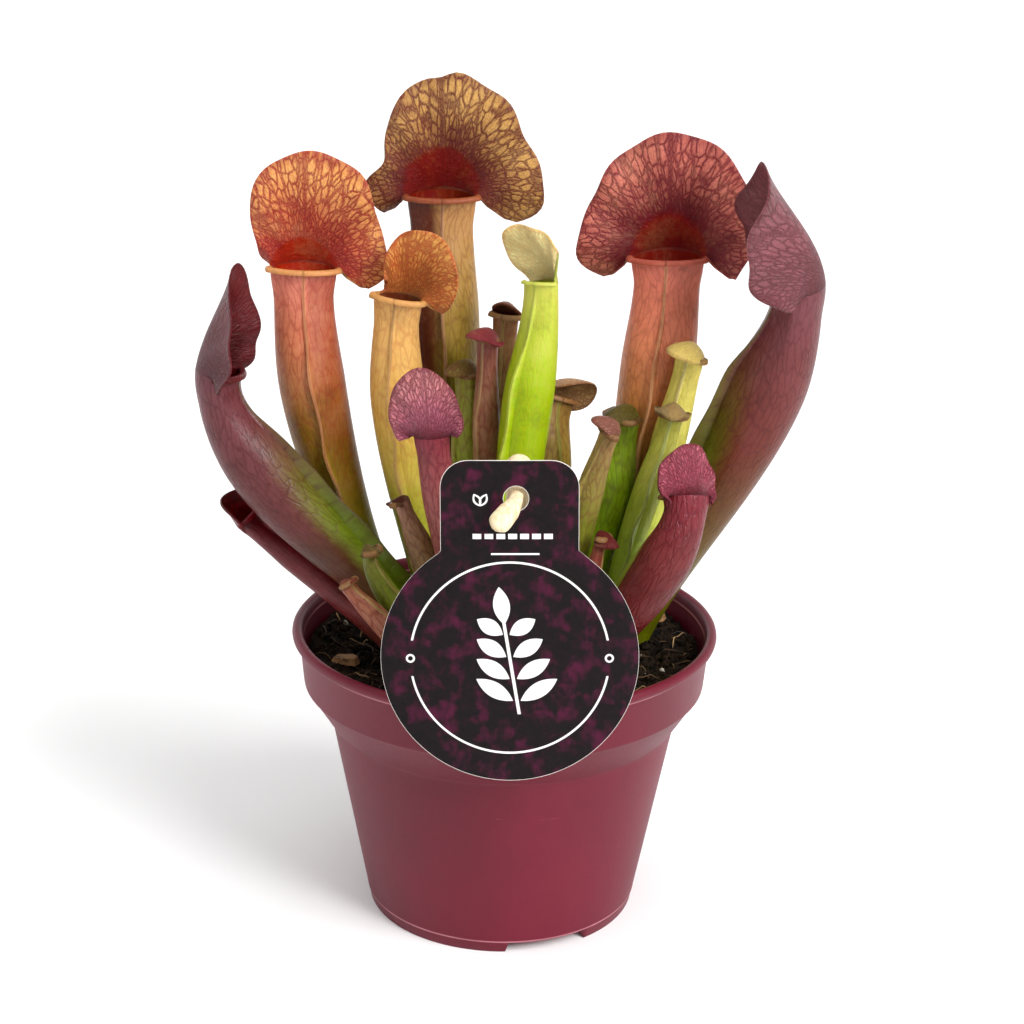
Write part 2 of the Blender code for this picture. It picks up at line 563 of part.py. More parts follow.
def make_card(finish):
    """A round card with a tab on top, cut from thin board, with a hole in the tab."""
    shoulder = asin(TAB_HALF / CARD_RADIUS)
    turns = np.linspace(shoulder, 2 * pi - shoulder, 41)
    outline = [(CARD_RADIUS * sin(a), CARD_RADIUS * cos(a)) for a in turns]
    for side in (-1, 1):
        corner_x = side * (TAB_HALF - TAB_CORNER)
        corner_y = CARD_TOP - TAB_CORNER
        arc = np.linspace(0, pi / 2, 6)
        corner = [(corner_x + side * TAB_CORNER * cos(a), corner_y + TAB_CORNER * sin(a))
                  for a in arc]
        outline += corner if side < 0 else corner[::-1]
    count = len(outline)
    half = CARD_THICK / 2
    points = [(x, y, z) for y in (-half, half) for x, z in outline]
    place = card_matrix()
    points = [place @ Vector(p) for p in points]
    faces = [list(range(count)), list(range(2 * count - 1, count - 1, -1))]
    faces += [(k, k + count, (k + 1) % count + count, (k + 1) % count) for k in range(count)]
    card = add_piece("label_card", points, faces, finish, flat=True)
    make_outward(card)
    centre = place @ Vector((CARD_HOLE[0], 0, CARD_HOLE[1]))
    normal = place.to_3x3() @ Vector((0, 1, 0))
    hole, hole_faces = cylinder_points(centre, normal, CARD_HOLE_RADIUS, 6.0, 20)
    cut(card, add_cutter("cut_card_hole", hole, hole_faces))
    return card


def make_outward(piece):
    """Point the faces of a closed piece outwards."""
    work = bmesh.new()
    work.from_mesh(piece.data)
    bmesh.ops.recalc_face_normals(work, faces=work.faces)
    work.to_mesh(piece.data)
    work.free()


def swept_points(centres, radii, steps=12):
    """A closed round bar through centres with its own radius at each."""
    centres = np.asarray(centres, float)
    tangent = unit(np.gradient(centres, axis=0))
    side = unit(np.cross(tangent, (1.0, 0.05, 0.0)))
    other = np.cross(tangent, side)
    angles = np.arange(steps) * 2 * pi / steps
    cosines, sines = np.cos(angles)[None, :, None], np.sin(angles)[None, :, None]
    ring = side[:, None] * cosines + other[:, None] * sines
    grid = centres[:, None] + ring * np.asarray(radii, float)[:, None, None]
    points = grid.reshape(-1, 3)
    faces = grid_faces(len(grid), steps)
    first, last = len(points), len(points) + 1
    points = np.vstack([points, centres[0] - tangent[0] * 0.1, centres[-1] + tangent[-1] * 0.1])
    top = (len(grid) - 1) * steps
    for k in range(steps):
        after = (k + 1) % steps
        faces.append([first, after, k])
        faces.append([last, top + k, top + after])
    return points, faces


def make_stake(finish):
    """A round wooden stick with a domed head, and a peg that goes down through the card's hole."""
    foot, head = np.array(STAKE_FOOT), np.array(STAKE_HEAD)
    along = unit(head - foot)
    centres = [foot, foot + along * 5]
    radii = [0.6, STAKE_RADIUS]
    centres += [head - along * 0.5, head + along * 1.3, head + along * 2.4, head + along * 3.0]
    radii += [STAKE_RADIUS, STAKE_RADIUS * 0.86, STAKE_RADIUS * 0.55, STAKE_RADIUS * 0.2]
    points, faces = swept_points(centres, radii)
    stake = add_piece("label_stake", points, faces, finish)
    make_outward(stake)
    place = card_matrix()
    hole = np.array(place @ Vector((CARD_HOLE[0], 0, CARD_HOLE[1])))
    back = hole + (0.6, 4.0, 1.0)
    front = [hole + (-0.3, -1.4, -0.5), hole + (-1.6, -3.9, -2.0), hole + (-3.8, -5.4, -4.4),
             hole + (-5.6, -6.1, -6.6)]
    radii = [1.7, 1.7, 1.7, 2.6, 2.8, 1.4]
    points, faces = swept_points([back, hole + (0.1, 0.9, 0.1), *front], radii, 10)
    join(stake, add_cutter("peg_form", points, faces))
    return stake


def make_chip(name, chip, finish):
    """A flat splinter of bark lying on the soil."""
    (x, y), length, width, turn = chip
    outline = [(-0.5, -0.3), (-0.1, -0.5), (0.45, -0.42), (0.5, 0.1), (0.2, 0.5), (-0.42, 0.4)]
    lift = SOIL_TOP + GAP + 1.2
    low = [(a * length, b * width, 0.0) for a, b in outline]
    high = [(a * length * 0.86, b * width * 0.8, CHIP_THICK * (0.8 + 0.4 * a)) for a, b in outline]
    place = Matrix.Translation((x, y, lift)) @ Matrix.Rotation(radians(turn), 4, 'Z')
    points = [place @ Vector(p) for p in low + high]
    count = len(outline)
    faces = [list(range(count))[::-1], [k + count for k in range(count)]]
    faces += [(k, (k + 1) % count, (k + 1) % count + count, k + count) for k in range(count)]
    piece = add_piece(name, points, faces, finish, flat=True)
    make_outward(piece)
    return piece


def main():
    """Build every piece of the potted plant."""
    clear_scene()
    make_pot(Finish((0.30, 0.045, 0.075), 0.42))
    make_soil(Finish((0.018, 0.012, 0.009), 0.95))
    stem, faces = stem_points(STEM_RADIUS)
    add_piece("rhizome", stem, faces, Finish((0.16, 0.09, 0.04), 0.7))
    for number, pitcher in enumerate(PITCHERS, start=1):
        make_pitcher("pitcher_%02d" % number, pitcher)
    make_card(Finish((0.035, 0.008, 0.02), 0.35))
    make_stake(Finish((0.70, 0.55, 0.36), 0.6))
    for number, chip in enumerate(BARK_CHIPS, start=1):
        make_chip("bark_chip_%d" % number, chip, Finish((0.45, 0.28, 0.14), 0.8))
    to_origin = Matrix.Translation((-BOX_MIDDLE[0] * MM, -BOX_MIDDLE[1] * MM, 0.0))
    for item in bpy.data.objects:
        item.data.transform(to_origin)


main()
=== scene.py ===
"""Potted pitcher plant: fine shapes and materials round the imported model.

The tables hold millimetres, measured from the floor under the middle of the pot, with +Z up and
the front at -Y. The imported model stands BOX_MIDDLE away from that, and every shape is moved there.
"""

import json
import logging
from dataclasses import dataclass, field
from enum import Enum
from math import asin, cos, pi, radians, sin
from typing import Any, Dict, List, Optional, Sequence, Tuple

import bpy
import numpy as np
from mathutils import Matrix

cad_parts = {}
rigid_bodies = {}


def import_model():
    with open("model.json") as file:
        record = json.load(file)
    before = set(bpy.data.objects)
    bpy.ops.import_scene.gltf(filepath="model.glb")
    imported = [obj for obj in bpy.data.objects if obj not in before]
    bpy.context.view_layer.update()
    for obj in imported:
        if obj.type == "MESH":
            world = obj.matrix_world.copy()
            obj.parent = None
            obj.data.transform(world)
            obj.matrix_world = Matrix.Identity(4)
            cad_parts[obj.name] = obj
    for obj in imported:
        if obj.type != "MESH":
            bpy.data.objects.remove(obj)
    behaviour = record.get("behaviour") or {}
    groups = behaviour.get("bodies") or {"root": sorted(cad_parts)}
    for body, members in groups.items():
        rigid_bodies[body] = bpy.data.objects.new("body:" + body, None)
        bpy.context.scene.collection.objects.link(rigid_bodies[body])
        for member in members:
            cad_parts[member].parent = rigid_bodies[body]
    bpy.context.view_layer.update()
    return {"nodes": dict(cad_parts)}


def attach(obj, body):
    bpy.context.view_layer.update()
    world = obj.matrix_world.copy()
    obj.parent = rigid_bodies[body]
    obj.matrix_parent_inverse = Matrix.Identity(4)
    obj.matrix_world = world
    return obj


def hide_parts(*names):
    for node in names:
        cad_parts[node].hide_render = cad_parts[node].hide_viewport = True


for leftover in list(bpy.data.objects):
    bpy.data.objects.remove(leftover, do_unlink=True)
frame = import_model()

LOG = logging.getLogger("plant")
Colour = Tuple[int, int, int]
Point = Tuple[float, float, float]

MM = 0.001
BOX_MIDDLE = np.array((0.3, -3.4, 0.0))
BODY = "root"

# --- pot, soil, card and stake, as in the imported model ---
POT_HEIGHT = 84.1
RIM_RADIUS = 60.0
FOOT_RADIUS = 38.5
FOOT_HEIGHT = 3.5
SHOULDER_LOW = (49.4, 57.5)
SHOULDER_HIGH = (56.8, 68.2)
NOTCH_FIRST = 20.5
NOTCH_WIDTH = 35.0
SOIL_TOP = 75.5
CARD_RADIUS = 33.0
CARD_TOP = 51.8
TAB_HALF = 17.5
TAB_CORNER = 7.0
CARD_THICK = 0.5
CARD_HOLE = (1.6, 42.0)
CARD_HOLE_RADIUS = 3.2
CARD_CENTRE = (1.5, -62.9, 99.8)
CARD_LEAN = 5.6
CARD_ROLL = 1.0
STAKE_RADIUS = 3.2
STAKE_FOOT = (3.0, -42.0, 50.0)
STAKE_HEAD = (3.0, -54.2, 149.0)


# ---------------------------------------------------------------- shader maths


def linear(colour: Colour) -> Tuple[float, float, float, float]:
    """Turn an 8-bit screen colour into the shader's linear one."""
    parts = [c / 255 for c in colour]
    flat = [c / 12.92 if c <= 0.04045 else ((c + 0.055) / 1.055) ** 2.4 for c in parts]
    return flat[0], flat[1], flat[2], 1.0


class Signal:
    """A shader socket that can be added, multiplied and compared like a number."""

    def __init__(self, paint: "Paint", socket: bpy.types.NodeSocket) -> None:
        """Wrap a socket of the paint's node tree."""
        self.paint = paint
        self.socket = socket

    def maths(self, operation: str, *values: Any) -> "Signal":
        """Add a Math node.

        Args:
            operation: the Math node's operation.
            values: its inputs, signals or numbers.

        Returns:
            The node's result.
        """
        return self.paint.node("ShaderNodeMath", {"operation": operation},
                               dict(enumerate(values)))

    def __add__(self, other: Any) -> "Signal":
        """Sum."""
        return self.maths("ADD", self, other)

    __radd__ = __add__

    def __sub__(self, other: Any) -> "Signal":
        """Difference."""
        return self.maths("SUBTRACT", self, other)

    def __rsub__(self, other: Any) -> "Signal":
        """Difference from a number."""
        return self.maths("SUBTRACT", other, self)

    def __mul__(self, other: Any) -> "Signal":
        """Product."""
        return self.maths("MULTIPLY", self, other)

    __rmul__ = __mul__

    def __truediv__(self, other: Any) -> "Signal":
        """Quotient."""
        return self.maths("DIVIDE", self, other)

    def __pow__(self, other: Any) -> "Signal":
        """Power."""
        return self.maths("POWER", self, other)

    def size(self) -> "Signal":
        """Value without its sign."""
        return self.maths("ABSOLUTE", self)

    def top(self, other: Any) -> "Signal":
        """The larger of the two."""
        return self.maths("MAXIMUM", self, other)

    def low(self, other: Any) -> "Signal":
        """The smaller of the two."""
        return self.maths("MINIMUM", self, other)

    def sine(self) -> "Signal":
        """Sine of an angle in radians."""
        return self.maths("SINE", self)

    def ease(self, start: float, end: float) -> "Signal":
        """Rise smoothly from 0 at start to 1 at end; end may lie below start."""
        falls = end < start
        settings = {"interpolation_type": "SMOOTHSTEP", "clamp": True}
        values = {"Value": self, "From Min": min(start, end), "From Max": max(start, end),
                  "To Min": float(falls), "To Max": float(not falls)}
        return self.paint.node("ShaderNodeMapRange", settings, values)


class Paint:
    """One material's node tree, with its Principled shader."""

    def __init__(self, name: str) -> None:
        """Start an empty material of that name."""
        self.material = bpy.data.materials.new(name)
        self.material.use_nodes = True
        self.tree = self.material.node_tree
        self.shader = self.tree.nodes["Principled BSDF"]

    def node(self, kind: str, settings: Optional[Dict[str, Any]] = None,
             values: Optional[Dict[Any, Any]] = None, output: Any = 0) -> Signal:
        """Add a node.

        Args:
            kind: the node's type.
            settings: its own settings, and under "stops" a ramp's (place, colour) pairs.
            values: numbers, colours or signals for its sockets, by name or place.
            output: which of its outputs to give back.

        Returns:
            That output as a signal.
        """
        made = self.tree.nodes.new(kind)
        for key, value in (settings or {}).items():
            if key == "stops":
                self.set_stops(made.color_ramp, value)
            else:
                setattr(made, key, value)
        for key, value in (values or {}).items():
            if isinstance(value, Signal):
                self.tree.links.new(value.socket, made.inputs[key])
            else:
                made.inputs[key].default_value = value
        return Signal(self, made.outputs[output])

    @staticmethod
    def set_stops(ramp: bpy.types.ColorRamp, stops: Sequence[Tuple[float, Colour]]) -> None:
        """Give a colour ramp its places and colours."""
        while len(ramp.elements) < len(stops):
            ramp.elements.new(1.0)
        for element, (place, colour) in zip(ramp.elements, stops):
            element.position = place
            element.color = linear(colour)

    def read(self, name: str) -> Signal:
        """A number that the mesh carries at each point."""
        return self.node("ShaderNodeAttribute", {"attribute_name": name}, None, "Fac")

    def read_vector(self, name: str) -> Signal:
        """A vector that the mesh carries at each point."""
        return self.node("ShaderNodeAttribute", {"attribute_name": name}, None, "Vector")

    def place(self) -> Signal:
        """The point's place in the object, in metres."""
        return self.node("ShaderNodeTexCoord", None, None, "Object")

    def noise(self, where: Signal, scale: float, detail: float = 3.0, rough: float = 0.55,
              warp: float = 0.0) -> Signal:
        """Cloudy noise from 0 to 1."""
        return self.node("ShaderNodeTexNoise", None,
                         {"Vector": where, "Scale": scale, "Detail": detail,
                          "Roughness": rough, "Distortion": warp})

    def cells(self, where: Signal, scale: float, dimensions: str = "3D") -> Signal:
        """Distance to the nearest border of a net of irregular cells."""
        settings = {"feature": "DISTANCE_TO_EDGE", "voronoi_dimensions": dimensions}
        return self.node("ShaderNodeTexVoronoi", settings, {"Vector": where, "Scale": scale}, 0)

    def stretch(self, where: Signal, scale: Point, move: Point = (0.0, 0.0, 0.0)) -> Signal:
        """Scale a place along each axis, then move it."""
        return self.node("ShaderNodeMapping", None,
                         {"Vector": where, "Scale": scale, "Location": move})

    def shake(self, where: Signal, scale: float, amount: float) -> Signal:
        """Bend a place with noise, so that straight lines wander."""
        noise = self.node("ShaderNodeTexNoise", None,
                          {"Vector": where, "Scale": scale, "Detail": 2.0}, "Color")
        centred = self.node("ShaderNodeVectorMath", {"operation": "SUBTRACT"},
                            {0: noise, 1: (0.5, 0.5, 0.5)})
        scaled = self.node("ShaderNodeVectorMath", {"operation": "SCALE"},
                           {0: centred, "Scale": amount})
        return self.node("ShaderNodeVectorMath", {"operation": "ADD"}, {0: where, 1: scaled})

    def mix(self, share: Any, first: Any, second: Any) -> Signal:
        """Mix two colours; share 0 gives the first."""
        values = {0: share}
        for key, value in ((6, first), (7, second)):
            values[key] = value if isinstance(value, Signal) else linear(value)
        return self.node("ShaderNodeMix", {"data_type": "RGBA"}, values, 2)

    def ramp(self, along: Signal, stops: Sequence[Tuple[float, Colour]]) -> Signal:
        """Colour from a ramp of (place, colour) stops."""
        return self.node("ShaderNodeValToRGB", {"stops": stops}, {0: along})

    def finish(self, colour: Signal, roughness: Any, height: Optional[Signal] = None,
               depth: float = 0.0003, **fixed: float) -> bpy.types.Material:
        """Connect the shader.

        Args:
            colour: the base colour.
            roughness: a signal or a number.
            height: what raises the surface, from 0 to 1.
            depth: how far height 1 raises it, in metres.
            fixed: other numbers of the shader, with _ for each space in their names.

        Returns:
            The finished material.
        """
        self.tree.links.new(colour.socket, self.shader.inputs["Base Color"])
        if isinstance(roughness, Signal):
            self.tree.links.new(roughness.socket, self.shader.inputs["Roughness"])
        else:
            self.shader.inputs["Roughness"].default_value = roughness
        if height is not None:
            bump = self.node("ShaderNodeBump", None,
                             {"Height": height, "Distance": depth, "Strength": 1.0})
            self.tree.links.new(bump.socket, self.shader.inputs["Normal"])
        for key, value in fixed.items():
            self.shader.inputs[key.replace("_", " ")].default_value = value
        return self.material


# ---------------------------------------------------------------- surfaces


def unit(vectors: np.ndarray) -> np.ndarray:
    """Scale vectors to length one."""
    vectors = np.asarray(vectors, float)
    return vectors / np.maximum(np.linalg.norm(vectors, axis=-1, keepdims=True), 1e-12)


def ease(values: Any, low: float, high: float) -> np.ndarray:
    """Rise smoothly from 0 at low to 1 at high: 3t^2 - 2t^3 of the share t of the way."""
    t = np.clip((np.asarray(values, float) - low) / (high - low), 0, 1)
    return t * t * (3 - 2 * t)


def curve_through(values: Sequence[float], share: np.ndarray) -> np.ndarray:
    """Catmull-Rom curve through evenly spaced values, read at shares from 0 to 1."""
    v = np.asarray(values, float)
    last = len(v) - 1
    x = np.clip(np.asarray(share) * last, 0, last - 1e-9)
    i = x.astype(int)
    f = x - i
    e = np.r_[2 * v[0] - v[1], v, 2 * v[-1] - v[-2]]
    a, b, c, d = e[i], e[i + 1], e[i + 2], e[i + 3]
    return 0.5 * (2 * b + (c - a) * f + (2 * a - 5 * b + 4 * c - d) * f ** 2
                  + (3 * b - a - 3 * c + d) * f ** 3)


def bezier(controls: Sequence[Point], share: np.ndarray) -> Tuple[np.ndarray, np.ndarray, float]:
    """Points evenly spread along a cubic curve.

    Args:
        controls: its four control points.
        share: shares of its length, from 0 to 1.

    Returns:
        The points, the directions there and the curve's length.
    """
    p = np.asarray(controls, float)

    def at(t: np.ndarray) -> np.ndarray:
        """The cubic's point: a^3 p0 + 3 a^2 t p1 + 3 a t^2 p2 + t^3 p3, with a = 1 - t."""
        t = t[:, None]
        a = 1 - t
        return a ** 3 * p[0] + 3 * a * a * t * p[1] + 3 * a * t * t * p[2] + t ** 3 * p[3]

    def heading(t: np.ndarray) -> np.ndarray:
        """The cubic's direction, from its derivative."""
        t = t[:, None]
        a = 1 - t
        return a * a * (p[1] - p[0]) + 2 * a * t * (p[2] - p[1]) + t * t * (p[3] - p[2])

    fine = np.linspace(0, 1, 400)
    travelled = np.r_[0, np.cumsum(np.linalg.norm(np.diff(at(fine), axis=0), axis=1))]
    even = np.interp(share, travelled / travelled[-1], fine)
    return at(even), unit(heading(even)), travelled[-1]


def wrapped_faces(rows: int, columns: int) -> np.ndarray:
    """Quads of a grid whose columns close round."""
    index = np.arange(rows * columns).reshape(rows, columns)
    after = np.roll(index, -1, axis=1)
    return np.stack([index[:-1], after[:-1], after[1:], index[1:]], -1).reshape(-1, 4)


def fan_faces(centre: int, first: int, count: int, flip: bool = False) -> List[List[int]]:
    """Triangles that close a ring: from a centre point to each edge between ring points.

    Args:
        centre: number of the point in the middle.
        first: number of the ring's first point.
        count: how many points the ring has.
        flip: turn the triangles the other way round.

    Returns:
        One triangle for each edge of the ring.
    """
    ring = first + np.arange(count)
    edge = (np.roll(ring, -1), ring) if flip else (ring, np.roll(ring, -1))
    return np.stack([np.full(count, centre), *edge], -1).tolist()


def grid_normals(grid: np.ndarray) -> np.ndarray:
    """Outward directions of a grid surface whose columns close round."""
    down = np.gradient(grid, axis=0)
    around = np.roll(grid, -1, axis=1) - np.roll(grid, 1, axis=1)
    return unit(np.cross(down, around))


def value_noise(x: np.ndarray, y: np.ndarray, seed: int, octaves: int = 4) -> np.ndarray:
    """Smooth random heights from -1 to 1: a lattice of random values, eased between, summed."""
    total = np.zeros(np.shape(x))
    strength, norm = 1.0, 0.0
    for octave in range(octaves):
        lattice = np.random.default_rng(seed + octave).uniform(-1, 1, (256, 256))
        u, v = x * 2 ** octave + 37.2, y * 2 ** octave + 91.7
        i, j = np.floor(u).astype(int), np.floor(v).astype(int)
        fu, fv = ease(u - i, 0, 1), ease(v - j, 0, 1)
        i0, i1, j0, j1 = i % 256, (i + 1) % 256, j % 256, (j + 1) % 256
        row0 = lattice[i0, j0] * (1 - fu) + lattice[i1, j0] * fu
        row1 = lattice[i0, j1] * (1 - fu) + lattice[i1, j1] * fu
        total += strength * (row0 * (1 - fv) + row1 * fv)
        norm += strength
        strength *= 0.55
    return total / norm


def make_piece(name: str, points: np.ndarray, faces: Any, material: bpy.types.Material,
               replaces: Sequence[str] = (),
               carried: Optional[Dict[str, np.ndarray]] = None,
               smooth: bool = True) -> bpy.types.Object:
    """Make one finished piece of the plant.

    Args:
        name: the piece's name.
        points: its points in millimetres, in the tables' frame.
        faces: quads and triangles, as lists of point numbers.
        material: its finish.
        replaces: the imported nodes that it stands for.
        carried: numbers or vectors to keep at each point, by name.
        smooth: whether its shading is smooth.

    Returns:
        The new object, riding on the plant's body.
    """
    mesh = bpy.data.meshes.new(name)
    placed = (np.asarray(points, float) - BOX_MIDDLE) * MM
    mesh.from_pydata(placed.tolist(), [], [list(map(int, f)) for f in faces])
    mesh.validate()
    for key, values in (carried or {}).items():
        values = np.asarray(values, np.float32)
        kind = "FLOAT_VECTOR" if values.ndim == 2 else "FLOAT"
        layer = mesh.attributes.new(key, kind, "POINT")
        layer.data.foreach_set("vector" if values.ndim == 2 else "value", values.ravel())
    if smooth:
        mesh.shade_smooth()
        mesh.set_sharp_from_angle(angle=radians(55))
    mesh.materials.append(material)
    piece = bpy.data.objects.new(name, mesh)
    bpy.context.scene.collection.objects.link(piece)
    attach(piece, BODY)
    if replaces:
        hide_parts(*replaces)
    LOG.info("%s: %d points, %d faces", name, len(mesh.vertices), len(mesh.polygons))
    return piece


# ---------------------------------------------------------------- pitchers


class Build(Enum):
    """How fine a pitcher's surface is: tube rows, hood columns, front columns, hood rows."""

    LARGE = (64, 73, 22, 30)
    MEDIUM = (44, 45, 16, 18)
    SMALL = (30, 29, 10, 12)


@dataclass(frozen=True)
class Hood:
    """The flap over a pitcher's mouth, as distances from its middle to its edge and bends."""

    reach: Tuple[float, ...]
    span: float = 122.0         # degrees to each side that the distances cover
    rise: float = 3.0           # height of the hood's middle above the mouth
    lean: float = 0.0           # degrees back, negative is forward
    turn: float = 0.0           # degrees in its own plane
    cup: float = 0.25           # how far the sides come forward
    start: float = 1.0          # how long it keeps to the tube's direction
    finish: float = 0.9         # how long it keeps to its edge's direction
    droop: float = 0.0          # how far the edge turns down
    recurve: float = 0.1        # how far the edge turns back
    ruffle: float = 0.0         # depth of the waves along the edge
    waves: float = 9.0          # how many of them, per radian
    phase: float = 0.0
    notch: float = 0.0          # depth of the nick at the tip
    scallop: float = 0.0        # share of the reach that the edge swings in and out
    side: float = 0.85          # how early the sides leave the tube's direction
    lift: float = 0.0           # how far up the sides go as they come forward


@dataclass(frozen=True)
class LeafTint:
    """Colours of one pitcher, from the foot of the tube to the edge of the hood."""

    tube: Tuple[Tuple[float, Colour], ...]      # stops along the tube
    vein: Colour
    hood: Colour                                # between the hood's veins, near the mouth
    edge: Colour                                # between the hood's veins, near the edge
    throat: Colour = (92, 14, 8)
    flank: Colour = (95, 50, 35)                # colour of the darker side of the tube
    flank_share: float = 0.0                    # how strong it is; negative swaps sides
    back: Optional[Colour] = None               # outside of the hood
    lip: Colour = (128, 94, 58)
    wing: Colour = (170, 150, 90)
    throat_size: float = 0.0                    # millimetres
    tube_veins: float = 0.5
    hood_veins: float = 0.9
    gloss: float = 0.42
    light: Colour = (235, 205, 150)             # the paler clouds
    belly: Optional[Colour] = None              # beside the wing, towards the foot
    puff: float = 0.35                          # how far the cells bulge between the veins


@dataclass(frozen=True)
class Pitcher:
    """One pitcher: a tube along a smooth curve, a wing down its front, a lip and a hood."""

    route: Tuple[Point, Point, Point, Point]
    front: Point
    girth: Tuple[float, float, float, float]    # base, widest, where it is widest, mouth
    hood: Hood
    tint: LeafTint
    build: Build = Build.LARGE
    wing: float = 3.0
    flutter: float = 0.6                        # how far the wing waves from side to side
    flat: float = 0.5                           # depth of the front half of the mouth
    depth: float = 40.0                         # how far down the tube is open
    thick: float = 0.6
    lip: float = 0.42
    neck: float = 0.1                           # how much narrower the tube is under the mouth


class PitcherSurface:
    """Works out the shell of one pitcher on a grid that goes round it and along it."""

    def __init__(self, pitcher: Pitcher) -> None:
        """Keep the pitcher's table row."""
        self.pitcher = pitcher
        self.carried: Dict[str, np.ndarray] = {}

    def columns(self) -> Tuple[np.ndarray, np.ndarray, np.ndarray, np.ndarray]:
        """Angles round the tube, 0 at the back: first the hood's columns, then round the front.

        Returns:
            The angles; how far each stands up as the wing; its step to the side of the wing's
            middle; and the hood's place across from -1 to 1, or 9 in front.
        """
        _, hood_columns, front_columns, _ = self.pitcher.build.value
        edge = radians(92)
        across = np.linspace(-1, 1, hood_columns)
        side = np.linspace(edge, pi - 0.14, front_columns // 2 + 1)[1:]
        fin = pi + np.array([-0.05, -0.03, -0.012, 0.012, 0.03, 0.05])
        stands = np.array([0, 0.5, 1, 1, 0.5, 0])
        step = np.array([-0.7, -0.5, -0.3, 0.3, 0.5, 0.7])
        before, after = len(across) + len(side), len(side)
        angle = np.r_[across * edge, side, fin, 2 * pi - side[::-1]]
        return (angle, np.r_[np.zeros(before), stands, np.zeros(after)],
                np.r_[np.zeros(before), step, np.zeros(after)],
                np.r_[across, np.full(len(angle) - hood_columns, 9.0)])

    def radius(self, t: np.ndarray) -> np.ndarray:
        """Radius up the tube: it swells to its widest, draws in to a neck and flares a little."""
        base, widest, at, mouth = self.pitcher.girth
        swell = base + (widest - base) * ease(t, 0, at) ** 0.85
        drawn = np.where(t < at, swell, widest + (mouth - widest) * ease(t, at, 1.0))
        return drawn - self.pitcher.neck * mouth * ease(t, 0.72, 0.93) * (1 - ease(t, 0.93, 1.0))

    def outside(self) -> np.ndarray:
        """The outer surface: rows up the tube, then up the hood and over the rolled lip.

        A point of the tube is the middle plus radius times (cos, sin) of its angle, flattened in
        front towards the mouth. A point of the hood lies on a cubic Hermite curve from the
        mouth's ring to the hood's edge. The lip is a circle of small radius.
        """
        p = self.pitcher
        tube_rows, _, _, hood_rows = p.build.value
        t = np.linspace(0, 1, tube_rows + 1)
        centre, up, length = bezier(p.route, t)
        aim = unit(np.asarray(p.front, float))
        aim = unit(aim - up * (up @ aim)[:, None])
        right = np.cross(up, aim)
        radius = self.radius(t)
        angle, stands, step, across = self.columns()
        cosine, sine = np.cos(angle), np.sin(angle)
        near = ease(t, 0.75, 1.0)[:, None]
        flat = 1 + (p.flat - 1) * near * ease(-cosine, 0.0, 0.6)
        wing = p.wing * np.sin(pi * t ** 0.8) ** 1.2
        flutter = p.flutter * np.sin(t * 31) * np.sin(pi * t)
        outward = radius[:, None] * flat + stands * wing[:, None]
        on_fin = (step != 0).astype(float)
        sideways = (radius[:, None] * sine * (1 - on_fin)
                    + on_fin * (flutter[:, None] * stands - step))
        tube = (centre[:, None] - aim[:, None] * (outward * cosine)[..., None]
                + right[:, None] * sideways[..., None])
        sheet, reach = self.hood_sheet(tube[-1], centre[-1], up[-1], aim[-1], right[-1],
                                       radius[-1], across, hood_rows)
        k = np.linspace(0, 1, hood_rows + 1)[1:]
        roll = (k * radians(200))[:, None, None]
        out = unit(right[-1] * sine[:, None] - aim[-1] * cosine[:, None])
        lip = tube[-1] + (out * (1 - np.cos(roll)) + up[-1] * np.sin(roll)) * p.lip
        is_hood = across < 5
        join = ease(np.abs(across), 0.9, 1.0)
        share = np.where(is_hood, join, 1.0)[None, :, None]
        self.carry(t, k, angle, stands, across, share[0, :, 0], reach, length)
        return np.concatenate([tube, sheet * (1 - share) + lip * share])

    def hood_sheet(self, ring: np.ndarray, centre: np.ndarray, up: np.ndarray, aim: np.ndarray,
                   right: np.ndarray, mouth: float, across: np.ndarray,
                   rows: int) -> Tuple[np.ndarray, np.ndarray]:
        """Rows of the hood from the mouth's ring to its edge, and its reach at each column."""
        hood = self.pitcher.hood
        lean, turn = radians(hood.lean), radians(hood.turn)
        rise = up * cos(lean) - aim * sin(lean)
        ahead = aim * cos(lean) + up * sin(lean)
        rise, wide = rise * cos(turn) + right * sin(turn), right * cos(turn) - rise * sin(turn)
        is_hood = across < 5
        s = np.where(is_hood, across, 0.0)
        phi = s * radians(hood.span)
        reach = curve_through(hood.reach, (s + 1) / 2)
        reach = reach - hood.notch * np.exp(-(phi / 0.10) ** 2)
        reach = reach * (1 + hood.scallop * np.sin(11 * phi + hood.phase))
        middle = centre - aim * mouth * 0.8 + up * hood.rise
        sideways = reach * np.sin(phi)
        forward = (hood.cup * sideways ** 2 / max(hood.reach)
                   + hood.ruffle * np.sin(hood.waves * phi + hood.phase))
        edge = (middle + rise * (reach * np.cos(phi))[:, None] + wide * sideways[:, None]
                + (ahead + up * hood.lift) * forward[:, None])
        join = ease(np.abs(s), 0.9, 1.0)
        edge = np.where(is_hood[:, None], edge * (1 - join)[:, None] + ring * join[:, None], ring)
        span = np.linalg.norm(edge - ring, axis=1) * (1 - join)
        start = up * (hood.start * (1 - hood.side * np.abs(s) ** 1.3) * span)[:, None]
        finish = ((unit(edge - middle) * hood.finish - ahead * hood.recurve - up * hood.droop)
                  * span[:, None])
        k = np.linspace(0, 1, rows + 1)[1:, None, None]
        sheet = ((2 * k ** 3 - 3 * k ** 2 + 1) * ring + (k ** 3 - 2 * k ** 2 + k) * start
                 + (3 * k ** 2 - 2 * k ** 3) * edge + (k ** 3 - k ** 2) * finish)
        return sheet, reach

